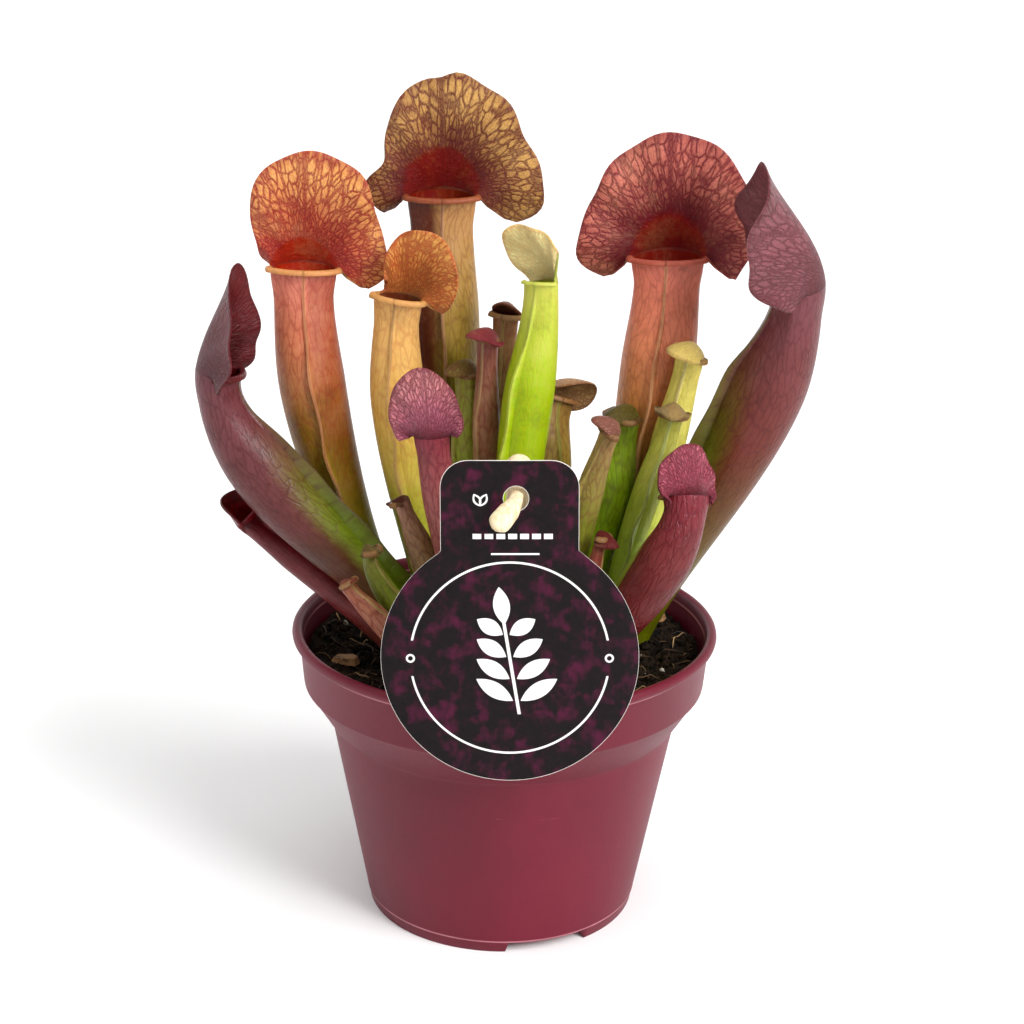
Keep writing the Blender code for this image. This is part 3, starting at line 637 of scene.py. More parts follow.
    def carry(self, t: np.ndarray, k: np.ndarray, angle: np.ndarray, stands: np.ndarray,
              across: np.ndarray, lip_share: np.ndarray, reach: np.ndarray,
              length: float) -> None:
        """Keep what the finish reads at each point.

        "net" is the place in the net of veins. On the hood it is the angle round the middle
        and the logarithm of the distance from it, so that the cells grow towards the edge and
        keep their shape. On the tube it is the way round and the way up, long cells upwards.
        """
        rows, count = len(t) + len(k), len(angle)
        around = (np.where(angle > pi, angle - 2 * pi, angle) / pi)[None].repeat(rows, 0)
        along = np.r_[t, np.ones(len(k))][:, None].repeat(count, 1)
        spread = np.r_[np.zeros(len(t)), k][:, None] * (1 - lip_share)
        distance = spread * reach
        s = np.where(across < 5, across, 0.0)
        phi = s * radians(self.pitcher.hood.span)
        on_hood = (np.r_[np.zeros(len(t)), np.ones(len(k))][:, None] * (1 - lip_share)) > 0.5
        round_tube = around * pi * self.radius(along)
        net_x = np.where(on_hood, 10.0 * phi, round_tube / 2.1)
        net_y = np.where(on_hood, 6.3 * np.log1p(distance / 8.0) + 40, along * length / 7.5)
        self.carried = {
            "along": along, "around": around, "hood": on_hood.astype(float),
            "distance": distance, "spread": spread,
            "lip": np.r_[np.zeros(len(t)), np.ones(len(k))][:, None] * lip_share,
            "wing": np.broadcast_to(stands, (rows, count)),
            "net_x": net_x, "net_y": net_y,
        }

    def shell(self) -> Tuple[np.ndarray, np.ndarray, Dict[str, np.ndarray]]:
        """The closed shell: outer surface, rounded edge, inner surface and the tube's floor.

        Returns:
            Points, faces and what the points carry.
        """
        p = self.pitcher
        outer = self.outside()
        normal = grid_normals(outer)
        tube_rows = p.build.value[0]
        length = bezier(p.route, np.linspace(0, 1, 3))[2]
        inner = outer - normal * p.thick
        first = max(2, int(tube_rows * (1 - min(p.depth / length, 0.6))))
        step = self.columns()[2]
        plain = step != 0
        ends = [np.flatnonzero(plain)[0] - 1, np.flatnonzero(plain)[-1] + 1]
        share = np.linspace(0, 1, plain.sum() + 2)[1:-1]
        inner[:tube_rows + 1, plain] = (inner[:tube_rows + 1, ends[0], None] * (1 - share)[:, None]
                                        + inner[:tube_rows + 1, ends[1], None] * share[:, None])
        rim = (outer[-1:] + inner[-1:]) / 2 + (outer[-1:] - outer[-2:-1]) * 0.4
        back = inner[first:][::-1]
        grid = np.concatenate([outer, rim, back])
        rows, count = grid.shape[:2]
        total, last = rows * count, (rows - 1) * count
        caps = fan_faces(total, 0, count, flip=True) + fan_faces(total + 1, last, count)
        points = np.vstack([grid.reshape(-1, 3), grid[0].mean(axis=0), grid[-1].mean(axis=0)])
        faces = wrapped_faces(rows, count)[:, ::-1].tolist() + [cap[::-1] for cap in caps]
        carried = {}
        for key, values in self.carried.items():
            full = np.concatenate([values, values[-1:], values[first:][::-1]]).ravel()
            carried[key] = np.r_[full, values[0].mean(), values[first].mean()]
        flag = np.zeros((rows, count))
        flag[len(outer):] = 1.0
        carried["inside"] = np.r_[flag.ravel(), 0.0, 1.0]
        net = np.stack([carried.pop("net_x"), carried.pop("net_y")], -1)
        carried["net"] = np.c_[net, np.zeros(len(net))]
        return points, faces, carried


class LeafFinish:
    """The living surface of a pitcher: colour runs, a net of veins, a glossy throat."""

    def __init__(self, name: str, tint: LeafTint, seed: int) -> None:
        """Take the pitcher's colours."""
        self.name = name
        self.tint = tint
        self.seed = seed

    def make(self) -> bpy.types.Material:
        """Build the material."""
        tint, paint = self.tint, Paint(self.name)
        where = paint.place()
        moved = paint.stretch(where, (1.0, 1.0, 1.0), (0.37 * self.seed, 0.11 * self.seed, 0.0))
        cloud = paint.noise(moved, 90.0, 4.0)
        fine = paint.noise(moved, 700.0, 3.0)
        net = paint.stretch(paint.read_vector("net"), (1.0, 1.0, 1.0),
                            (3.1 * self.seed, 1.7 * self.seed, 0.0))
        net = paint.shake(paint.shake(net, 0.45, 1.0), 1.9, 0.3)
        hood = paint.read("hood")
        inside = paint.read("inside")
        distance = paint.read("distance")
        along = paint.read("along")
        main = paint.cells(net, 1.25, "2D")
        small = paint.cells(net, 3.4, "2D")
        trunk = paint.cells(paint.stretch(net, (0.62, 0.3, 1.0)), 1.0, "2D").ease(0.16, 0.0)
        thin = distance.ease(34.0, 0.0)
        wide = distance.ease(26.0, 2.0) * 0.12 * hood + 0.2
        main_vein = 1 - ((main + (cloud - 0.5) * 0.1) / wide).ease(0.05, 1.0)
        main_vein = main_vein.top(trunk * hood * 0.9)
        small_vein = small.ease(0.2, 0.02)
        rib = (paint.read("around") + (cloud - 0.5) * 0.02).size().ease(0.012, 0.003) * hood
        main_vein = main_vein.top(rib * 0.9)
        body = paint.ramp(along + (cloud - 0.5) * 0.16, tint.tube)
        if tint.flank_share:
            side = (paint.read("around") * pi).sine() * (1.0 if tint.flank_share > 0 else -1.0)
            shade = (side + (cloud - 0.5) * 0.4).ease(-0.1, 0.4) * abs(tint.flank_share)
            body = paint.mix(shade * along.ease(0.15, 0.6), body, tint.flank)
        if tint.belly is not None:
            near = (paint.read("around").size() + (cloud - 0.5) * 0.3).ease(0.62, 0.88)
            body = paint.mix(near * along.ease(0.9, 0.4) * 0.85, body, tint.belly)
        tube_share = (main_vein * 0.8 + small_vein * 0.25) * tint.tube_veins
        body = paint.mix(tube_share * along.ease(0.15, 0.75), body, tint.vein)
        body = paint.mix(paint.read("wing").ease(0.2, 1.0) * 0.6, body, tint.wing)
        flap = paint.mix((distance + (cloud - 0.5) * 14).ease(6.0, 25.0), tint.hood, tint.edge)
        hood_share = (main_vein * 0.85 + small_vein * (thin * 0.45 + 0.2)).low(1.0) * tint.hood_veins
        flap = paint.mix(hood_share, flap, tint.vein)
        if tint.back is not None:
            outer = paint.mix(distance.ease(5.0, 15.0) * 0.7, tint.back, tint.edge)
            outer = paint.mix(main_vein * 0.6 + small_vein * 0.25, outer, tint.vein)
            flap = paint.mix(inside, outer, flap)
        if tint.throat_size:
            around = paint.read("around")
            ragged = distance + (cloud - 0.5) * 2.0 + around * around * (3.4 * tint.throat_size)
            near = ragged.ease(tint.throat_size * 1.1, tint.throat_size * 0.88)
            flap = paint.mix(near * (inside * 0.8 + 0.16), flap, tint.throat)
        margin = paint.read("spread").ease(0.9, 1.0)
        flap = paint.mix(margin * 0.45, flap, tint.vein)
        colour = paint.mix(hood * inside.top(paint.read("spread").ease(0.0, 0.4)), body, flap)
        colour = paint.mix(inside * (1 - hood) * 0.92, colour, tint.throat)
        colour = paint.mix(paint.read("lip").ease(0.0, 0.2) * 0.85, colour, tint.lip)
        shade = (cloud - 0.5) * 0.9 + (fine - 0.5) * 0.4
        colour = paint.mix(shade.top(0.0) * 0.45, colour, tint.light)
        colour = paint.mix((0.0 - shade).top(0.0) * 1.3, colour, (40, 8, 8))
        rough = tint.gloss + (cloud - 0.5) * 0.14 + (fine - 0.5) * 0.1
        veins = (main_vein * 0.6 + small_vein * 0.3) * (hood * 0.7 + 0.3)
        height = (1 - veins) * tint.puff + fine * 0.12 + cloud * 0.25
        rich = paint.node("ShaderNodeHueSaturation", None,
                          {"Saturation": 1.05, "Value": 0.85, "Color": colour})
        return paint.finish(rich, rough, height, 0.0007, Subsurface_Weight=0.08,
                            Subsurface_Scale=0.0015, Specular_IOR_Level=0.25)


# Each one: four handles of its route from the foot in the soil to the mouth, the way its wing
# faces, its girth, its hood and its colours.
PITCHERS: List[Pitcher] = [
    Pitcher(((-16, 9, 74), (-17, 15, 130), (-19, 19, 164), (-19, 17, 202)), (0.05, -1, 0.1),
            (3.5, 10.2, 0.72, 9.4),
            Hood((14, 21, 17, 24, 29.5, 28.5, 26, 28, 19), span=132, lean=-2, ruffle=0.9, notch=1.2,
                 recurve=0.3, scallop=0.02),
            LeafTint(((0.0, (128, 160, 26)), (0.4, (136, 144, 30)), (0.7, (160, 134, 58)),
                      (1.0, (190, 140, 92))), vein=(90, 18, 26), hood=(112, 44, 34),
                     edge=(206, 160, 96), flank=(84, 34, 24), flank_share=-0.95, throat_size=11.0,
                     throat=(120, 8, 2), lip=(150, 84, 56), wing=(188, 140, 110),
                     tube_veins=0.35)),
    Pitcher(((-25, 5, 74), (-49, 4, 112), (-57, 5, 153), (-56, 5, 184)), (0.09, -1, 0.1),
            (3.2, 9.2, 0.75, 9.0),
            Hood((7, 11, 15, 24, 28, 27, 22, 23, 17), span=130, lean=-4, ruffle=0.8,
                 recurve=0.3, phase=1.0, scallop=0.015),
            LeafTint(((0.0, (142, 172, 40)), (0.4, (158, 152, 44)), (0.62, (152, 112, 44)),
                      (0.85, (200, 122, 92)), (1.0, (214, 128, 112))),
                     vein=(142, 34, 40), hood=(196, 92, 72),
                     edge=(232, 168, 104), flank=(132, 58, 36), flank_share=0.5,
                     throat_size=7.0, throat=(168, 40, 24), lip=(206, 150, 96),
                     wing=(214, 150, 110), tube_veins=0.4)),
    Pitcher(((28, 8, 74), (36, 12, 123), (44, 13, 161), (43, 12, 187)), (-0.14, -1, 0.1),
            (3.5, 10.3, 0.8, 10.0),
            Hood((16, 25, 24, 27, 30, 29, 25, 22, 20), span=132, lean=-2, ruffle=0.8,
                 recurve=0.3, phase=2.2, scallop=0.015),
            LeafTint(((0.0, (138, 164, 38)), (0.35, (168, 152, 52)), (0.6, (220, 150, 88)),
                      (0.85, (226, 136, 108)), (1.0, (230, 130, 114))),
                     vein=(102, 16, 30), hood=(94, 18, 22),
                     edge=(204, 118, 104), flank=(146, 70, 46), flank_share=0.35,
                     throat_size=10.0, throat=(128, 8, 4), lip=(176, 92, 76),
                     wing=(222, 170, 128), tube_veins=0.3), wing=4),
    Pitcher(((-9, -8, 74), (-33, -12, 99), (-80, -12, 134), (-76, -11, 159)),
            (0.98, -0.17, 0.1), (3.2, 9.2, 0.75, 8.0),
            Hood((13, 14, 15, 19, 27.5, 20, 15, 13, 12), span=120, lean=-10, cup=1.5, start=1.1,
                 ruffle=0.5, phase=0.5),
            LeafTint(((0.0, (96, 96, 18)), (0.3, (84, 60, 24)), (0.6, (92, 42, 38)),
                      (1.0, (112, 62, 68))), vein=(70, 18, 24), hood=(92, 22, 26),
                     edge=(110, 40, 44), light=(150, 92, 96), belly=(112, 138, 34),
                     back=(114, 66, 74), throat=(72, 8, 8),
                     throat_size=14.0, wing=(88, 78, 26), lip=(96, 40, 44), tube_veins=0.55,
                     hood_veins=0.5, gloss=0.34), wing=4),
    Pitcher(((37, 7, 74), (48, 8, 107), (79, 0, 156), (75, -4, 184)), (-0.98, -0.17, 0.1),
            (3.5, 10.8, 0.75, 9.4),
            Hood((13, 15, 18, 25, 34, 27, 22, 19, 16), span=120, lean=-19, cup=1.9, lift=0.42,
                 ruffle=0.9, phase=1.5),
            LeafTint(((0.0, (96, 104, 18)), (0.35, (98, 72, 26)), (0.62, (110, 48, 38)),
                      (1.0, (112, 60, 66))), vein=(72, 20, 26), hood=(112, 46, 52),
                     edge=(138, 82, 88), light=(140, 86, 90), belly=(98, 122, 26),
                     back=(138, 84, 92), throat=(84, 12, 14),
                     throat_size=8.0, wing=(96, 92, 24), lip=(110, 50, 54), tube_veins=0.5,
                     hood_veins=0.45, gloss=0.36), wing=4),
    Pitcher(((-18, 1, 74), (-26, 1, 121), (-33, -1, 150), (-30, -2, 178)), (-0.21, -1, 0.1),
            (3.0, 7.6, 0.75, 6.6),
            Hood((4, 5, 9, 16, 19, 16, 11), rise=2, lean=-4, ruffle=0.5, cup=0.45),
            LeafTint(((0.0, (150, 165, 50)), (0.35, (182, 190, 66)), (0.7, (222, 180, 98)),
                      (1.0, (222, 172, 110))), vein=(170, 66, 46), hood=(222, 150, 84),
                     edge=(240, 190, 108), back=(206, 120, 80), lip=(214, 160, 100),
                     wing=(205, 160, 110), tube_veins=0.3, hood_veins=0.8), wing=4, depth=24),
    Pitcher(((10, -10, 74), (-5, -12, 128), (9, -13, 157), (8, -10, 185)), (-0.6, -0.8, 0.1),
            (3.0, 6.8, 0.72, 4.8),
            Hood((5, 7, 10, 15, 13, 10, 6), span=112, rise=4, lean=-22, turn=-56, cup=0.1,
                 start=1.4, finish=0.8, ruffle=0.4),
            LeafTint(((0.0, (160, 175, 40)), (0.4, (151, 180, 26)), (0.75, (154, 182, 28)),
                      (1.0, (200, 205, 90))), vein=(222, 160, 96), hood=(250, 242, 176),
                     edge=(252, 238, 164), lip=(200, 205, 100), wing=(206, 216, 100),
                     tube_veins=0.12, hood_veins=0.45, throat=(170, 180, 50)),
            build=Build.MEDIUM, wing=3, depth=12, neck=0.0, lip=0.12),
    Pitcher(((-8, -20, 74), (-13, -25, 109), (-19, -26, 134), (-20, -25, 147)), (0.14, 1, 0),
            (2.5, 5.0, 0.85, 4.8),
            Hood((7, 9, 10, 13, 17, 15, 12, 10, 8), span=118, rise=2, lean=4, cup=0.2,
                 ruffle=0.5),
            LeafTint(((0.0, (130, 106, 48)), (0.4, (142, 82, 64)), (0.75, (162, 94, 88)),
                      (1.0, (130, 50, 62))), vein=(108, 30, 48), hood=(130, 36, 48),
                     edge=(250, 172, 166), light=(176, 108, 114),
                     back=(208, 122, 142), wing=(176, 112, 100),
                     tube_veins=0.6, gloss=0.34, puff=0.8),
            build=Build.MEDIUM, wing=2, depth=8),
    Pitcher(((-25, -14, 74), (-37, -13, 92), (-60, -5, 104), (-71, -4, 116)),
            (0.55, -0.5, 0.65), (2.8, 4.2, 0.8, 4.6),
            Hood((7, 8, 8, 8, 8, 8, 8), span=120, rise=1, lean=-5, cup=0.9),
            LeafTint(((0.0, (110, 60, 45)), (0.5, (112, 42, 44)), (1.0, (96, 22, 30))),
                     vein=(80, 14, 18), hood=(122, 10, 16), edge=(140, 22, 30),
                     light=(150, 92, 96),
                     back=(112, 28, 36), wing=(118, 50, 50), throat=(150, 12, 18), lip=(112, 24, 32),
                     throat_size=5.0, gloss=0.32),
            build=Build.MEDIUM, wing=2.5, depth=4),
    Pitcher(((-3, -4, 74), (-6, -5, 131), (-6, -7, 152), (-6, -8, 169)), (-0.64, -0.77, 0.1),
            (2.5, 3.8, 0.7, 3.2),
            Hood((5, 7, 8, 10, 8, 7, 5), span=82, rise=3.5, lean=-96, cup=1.1, start=1.3,
                 finish=0.5, droop=0.5),
            LeafTint(((0.0, (130, 130, 50)), (0.5, (150, 110, 75)), (0.85, (158, 110, 84)),
                      (1.0, (130, 70, 66))), vein=(120, 40, 44), hood=(120, 46, 52),
                     edge=(150, 84, 84), wing=(180, 150, 110)),
            build=Build.SMALL, wing=1.5, depth=5),
    Pitcher(((2, 4, 74), (-1, 5, 134), (-2, 5, 154), (-1, 5, 172)), (-0.34, -0.94, 0.1),
            (2.0, 4.0, 0.7, 3.6),
            Hood((4, 5, 6, 7, 6, 5, 4), span=90, rise=1, lean=-60, cup=0.3, start=1.6, finish=0.7,
                 droop=0.5),
            LeafTint(((0.0, (110, 115, 40)), (0.6, (120, 110, 50)), (1.0, (140, 95, 66))),
                     vein=(110, 44, 36), hood=(150, 100, 70), edge=(180, 130, 92)),
            build=Build.SMALL, wing=1.5, depth=5),
    Pitcher(((-9, 1, 74), (-10, 3, 119), (-11, 3, 140), (-12, 1, 157)), (-0.77, -0.64, 0.1),
            (2.5, 4.8, 0.7, 4.0),
            Hood((5, 6, 8, 10, 8, 6, 5), span=80, rise=4, lean=-105, cup=1.1, start=1.5,
                 finish=0.5, droop=0.9),
            LeafTint(((0.0, (136, 165, 36)), (0.6, (142, 164, 46)), (1.0, (156, 160, 66))),
                     vein=(110, 64, 40), hood=(120, 116, 44), edge=(150, 140, 66)),
            build=Build.SMALL, wing=1.5, depth=5),
    Pitcher(((11, -1, 74), (12, -3, 122), (10, -2, 139), (13, 1, 150)), (0.5, -0.87, 0.2),
            (2.5, 6.6, 0.8, 5.6),
            Hood((5, 7, 10, 13, 12, 9, 6), span=95, rise=2, lean=-62, turn=38, cup=0.7,
                 start=1.5, finish=0.7, droop=0.4),
            LeafTint(((0.0, (130, 150, 36)), (0.5, (148, 140, 52)), (1.0, (146, 112, 60))),
                     vein=(112, 60, 40), hood=(206, 160, 108), edge=(236, 200, 150),
                     wing=(160, 160, 80), hood_veins=0.6, lip=(150, 110, 70)),
            build=Build.SMALL, wing=2, depth=6),
    Pitcher(((17, -7, 74), (23, -3, 108), (31, -2, 133), (31, -3, 146)), (-0.77, -0.64, 0.1),
            (3.0, 7.0, 0.7, 5.0),
            Hood((5, 7, 9, 11, 9, 7, 5), span=80, rise=4, lean=-108, cup=1.1, start=1.5,
                 finish=0.5, droop=0.9),
            LeafTint(((0.0, (170, 195, 55)), (0.5, (134, 168, 32)), (1.0, (118, 140, 30))),
                     vein=(80, 70, 16), hood=(100, 84, 34), edge=(126, 98, 50),
                     wing=(150, 165, 60)),
            build=Build.SMALL, wing=2.5, depth=6),
    Pitcher(((16, -15, 74), (18, -16, 118), (24, -19, 137), (27, -24, 149)), (-0.77, -0.64, 0.1),
            (2.0, 3.8, 0.7, 3.0),
            Hood((4, 5, 6, 8, 6, 5, 4), span=80, lean=-92, turn=-20, cup=1.1, start=1.4,
                 finish=0.6, droop=0.6),
            LeafTint(((0.0, (140, 165, 46)), (0.6, (136, 140, 50)), (1.0, (170, 136, 92))),
                     vein=(120, 60, 50), hood=(176, 130, 110), edge=(196, 152, 128)),
            build=Build.SMALL, wing=1.5, depth=5),
    Pitcher(((33, -4, 74), (38, 1, 116), (46, 1, 142), (49, -4, 164)), (-0.42, -0.91, 0.1),
            (2.5, 4.8, 0.7, 4.0),
            Hood((5, 7, 9, 11, 9, 7, 5), span=80, rise=4, lean=-98, turn=-15, cup=1.1,
                 start=1.4, finish=0.5, droop=0.7),
            LeafTint(((0.0, (172, 200, 66)), (0.5, (200, 206, 92)), (1.0, (224, 206, 112))),
                     vein=(150, 110, 60), hood=(226, 200, 116), edge=(240, 218, 146),
                     wing=(228, 210, 150), tube_veins=0.2, hood_veins=0.25,
                     throat=(150, 120, 40)),
            build=Build.SMALL, wing=2, depth=6),
    Pitcher(((27, -9, 74), (33, -8, 116), (42, -10, 135), (44, -15, 151)), (-0.09, -1, 0.1),
            (2.5, 4.0, 0.7, 3.2),
            Hood((5, 6, 7, 9, 7, 6, 5), span=80, rise=4, lean=-100, cup=1.1, start=1.4,
                 finish=0.5, droop=0.7),
            LeafTint(((0.0, (170, 200, 66)), (0.5, (180, 202, 76)), (1.0, (180, 172, 80))),
                     vein=(120, 100, 50), hood=(160, 130, 84), edge=(190, 164, 110),
                     wing=(196, 206, 130), tube_veins=0.25, hood_veins=0.4),
            build=Build.SMALL, wing=1.5, depth=5),
    Pitcher(((16, -24, 74), (37, -33, 104), (48, -31, 121), (47.5, -26, 131)), (-0.42, 0.91, 0.1),
            (3.0, 7.2, 0.75, 6.4),
            Hood((6, 7, 8, 10, 13, 12, 11, 9, 7), span=130, rise=1, lean=-4, turn=-4, cup=0.3,
                 ruffle=0.5),
            LeafTint(((0.0, (80, 32, 22)), (0.4, (94, 30, 28)), (0.75, (112, 46, 46)),
                      (1.0, (126, 46, 56))), vein=(88, 14, 26), hood=(112, 30, 40),
                     edge=(210, 118, 132), light=(152, 94, 98),
                     back=(204, 106, 124), wing=(142, 152, 72),
                     tube_veins=0.6, gloss=0.34, puff=0.8),
            build=Build.MEDIUM, wing=2, depth=8),
    Pitcher(((24, -18, 74), (30, -18, 101), (40, -20, 112), (49, -16, 129)), (-0.34, 0.94, 0.1),
            (2.5, 3.9, 0.5, 2.0), Hood((2, 3, 4, 2, 2), rise=1, cup=0.3),
            LeafTint(((0.0, (150, 170, 60)), (0.5, (170, 185, 76)), (1.0, (186, 190, 96))),
                     vein=(130, 130, 50), hood=(176, 180, 90), edge=(190, 190, 110),
                     wing=(206, 214, 140), tube_veins=0.2, hood_veins=0.2,
                     throat=(130, 130, 50)),
            build=Build.SMALL, wing=1.5, depth=4),
    Pitcher(((10, -26, 74), (21, -25, 101), (25, -25, 113), (26, -25, 119)), (0.87, -0.5, 0.1),
            (1.8, 2.6, 0.6, 2.2),
            Hood((3, 5, 7, 5, 3), span=80, rise=1, lean=-104, cup=1.1, start=1.6, droop=0.8),
            LeafTint(((0.0, (150, 140, 70)), (0.5, (150, 96, 76)), (1.0, (124, 52, 44))),
                     vein=(90, 26, 26), hood=(110, 34, 32), edge=(150, 84, 74)),
            build=Build.SMALL, wing=1, depth=4),
    Pitcher(((-12, -16, 74), (-17, -17, 105), (-26, -17, 117), (-29, -16, 125)),
            (-0.98, 0.17, 0.1), (2.0, 4.0, 0.6, 3.0),
            Hood((3, 4, 6, 4, 3), span=80, rise=1, lean=-90, cup=1.0, start=1.5),
            LeafTint(((0.0, (120, 130, 40)), (0.5, (130, 110, 52)), (1.0, (170, 124, 104))),
                     vein=(96, 44, 34), hood=(84, 34, 28), edge=(120, 70, 56)),
            build=Build.SMALL, wing=1, depth=4),
    Pitcher(((-15, -22, 74), (-28, -26, 100), (-37, -26, 105), (-36, -27, 115)),
            (0.87, -0.5, 0.1), (1.8, 3.4, 0.6, 2.6),
            Hood((3, 4, 5, 4, 3), span=80, rise=1, lean=-90, cup=1.0, start=1.5),
            LeafTint(((0.0, (120, 145, 40)), (0.5, (120, 140, 40)), (1.0, (110, 112, 40))),
                     vein=(90, 80, 30), hood=(120, 90, 56), edge=(200, 186, 150)),
            build=Build.SMALL, wing=1, depth=4),
    Pitcher(((-19, -29, 74), (-30, -32, 97), (-39, -32, 101), (-42, -31, 107)),
            (0.87, -0.5, 0.1), (1.8, 3.2, 0.6, 2.4),
            Hood((2, 4, 5, 4, 2), span=80, rise=1, lean=-90, cup=1.0, start=1.5),
            LeafTint(((0.0, (150, 140, 80)), (0.5, (176, 120, 96)), (1.0, (150, 86, 66))),
                     vein=(120, 50, 40), hood=(150, 84, 66), edge=(196, 150, 120),
                     tube_veins=0.8),
            build=Build.SMALL, wing=1, depth=4),
]


@dataclass
class Plant:
    """All pitchers; the creeping stem that they grow from keeps its imported shape."""

    pitchers: List[Pitcher] = field(default_factory=lambda: PITCHERS)

    def make(self) -> None:
        """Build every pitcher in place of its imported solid."""
        for number, pitcher in enumerate(self.pitchers, start=1):
            name = "pitcher_%02d" % number
            points, faces, carried = PitcherSurface(pitcher).shell()
            finish = LeafFinish(name + "_leaf", pitcher.tint, number).make()
            make_piece(name + "_fine", points, faces, finish, [name], carried)


# ---------------------------------------------------------------- pot


@dataclass
class Pot:
    """A thin moulded pot: rolled rim, collar, slanted shoulder, cone and notched foot."""

    steps: int = 288

    def profile(self) -> np.ndarray:
        """Radius and height round the wall, from the middle of the base out, up and back in."""
        foot, base = FOOT_RADIUS, FOOT_HEIGHT
        low_r, low_z = SHOULDER_LOW
        high_r, high_z = SHOULDER_HIGH
        bead = np.radians(np.linspace(-150, 150, 15))
        bead_r = RIM_RADIUS - 1.5 + 1.5 * np.cos(bead)
        bead_z = POT_HEIGHT - 1.5 + 1.5 * np.sin(bead)
        outside = [(foot - 1.8, base), (foot - 1.6, base - 0.3), (foot - 1.4, 0.3),
                   (foot - 1.2, 0.0), (foot - 0.4, 0.0), (foot - 0.2, 0.3),
                   (foot + 0.40, base - 0.3), (foot + 0.46, base - 0.1), (foot + 0.58, base + 0.1),
                   (foot + 0.60, base + 0.5), (low_r - 0.55, low_z - 2.0),
                   (low_r - 0.45, low_z - 0.7), (low_r - 0.1, low_z),
                   (low_r + 0.6, low_z + 0.5), (high_r - 1.2, high_z - 1.3),
                   (high_r - 0.35, high_z - 0.35), (high_r - 0.05, high_z),
                   (high_r + 0.05, high_z + 0.5), (RIM_RADIUS - 2.05, POT_HEIGHT - 3.9),
                   (RIM_RADIUS - 1.85, POT_HEIGHT - 3.4)]
        inside = [(RIM_RADIUS - 3.1, POT_HEIGHT - 3.2), (high_r - 1.2, high_z + 0.6),
                  (high_r - 1.9, high_z - 0.6), (low_r - 0.9, low_z + 0.3),
                  (low_r - 1.5, low_z - 1.0), (foot - 0.9, base + 1.6), (foot - 1.6, base + 1.1)]
        return np.array(outside + list(zip(bead_r, bead_z)) + inside)

    def make(self) -> None:
        """Turn the profile round Z; the foot ring is lifted where its notches are."""
        profile = self.profile()
        near = 1.6
        rings = [0.3]
        extra = np.linspace(3.0, FOOT_RADIUS - near, 6)[:-1]
        floor_low = np.array([(r, FOOT_HEIGHT) for r in np.r_[rings, extra]])
        floor_high = np.array([(r, FOOT_HEIGHT + 1.1) for r in np.r_[rings, extra][::-1]])
        profile = np.vstack([floor_low, profile, floor_high])
        turn = np.arange(self.steps) * 2 * pi / self.steps
        radius, height = profile[:, 0][:, None], profile[:, 1][:, None]
        away = np.abs((np.degrees(turn) - NOTCH_FIRST + 60) % 120 - 60)
        lift = 2.9 * ease(-away, -NOTCH_WIDTH / 2 - 0.6, -NOTCH_WIDTH / 2 + 0.6)
        height = np.maximum(height, lift[None])
        wobble = 1 + 0.0008 * np.sin(3 * turn + 1.0) + 0.0005 * np.sin(5 * turn)
        grid = np.stack([radius * np.sin(turn) * wobble, -radius * np.cos(turn) * wobble,
                         np.broadcast_to(height, (len(profile), self.steps))], -1)
        rows, count = grid.shape[:2]
        faces = wrapped_faces(rows, count).tolist()
        centre_low, centre_high = rows * count, rows * count + 1
        points = np.vstack([grid.reshape(-1, 3), (0, 0, FOOT_HEIGHT), (0, 0, FOOT_HEIGHT + 1.1)])
        last = (rows - 1) * count
        faces += fan_faces(centre_low, 0, count, flip=True)
        faces += fan_faces(centre_high, last, count)
        make_piece("pot_moulded", points, faces, self.finish(), ["pot"])

    def finish(self) -> bpy.types.Material:
        """Moulded plastic: even colour, faint flow marks, scuffs, pale flash and seam lines."""
        paint = Paint("pot_plastic")
        where = paint.place()
        cloud = paint.noise(where, 18.0, 3.0)
        grain = paint.noise(where, 900.0, 2.0)
        flow = paint.noise(paint.stretch(where, (60.0, 60.0, 9.0)), 1.0, 4.0, 0.6)
        scuff = paint.noise(paint.stretch(where, (40.0, 40.0, 420.0)), 1.0, 5.0, 0.7, 0.6)
        split = paint.node("ShaderNodeSeparateXYZ", None, {0: where}, 2)
        seam = (split - (POT_HEIGHT - 3.45) * MM).size().ease(0.0005, 0.0001)
        foot = (split - FOOT_HEIGHT * MM).size().ease(0.0004, 0.0001)
        colour = paint.mix(cloud.ease(0.3, 0.7), (90, 6, 29), (102, 9, 35))
        colour = paint.mix(flow.ease(0.45, 0.75) * 0.25, colour, (112, 16, 43))
        colour = paint.mix(scuff.ease(0.66, 0.78) * 0.25, colour, (205, 120, 136))
        colour = paint.mix((seam.top(foot) * (flow * 0.8 + 0.1)).low(0.6), colour, (224, 150, 160))
        rough = 0.40 + cloud * 0.08 + grain * 0.05 + scuff.ease(0.6, 0.8) * 0.12
        height = grain * 0.35 + flow * 0.4 + seam * 0.5
        return paint.finish(colour, rough, height, 0.00012, Specular_IOR_Level=0.3)


# ---------------------------------------------------------------- soil


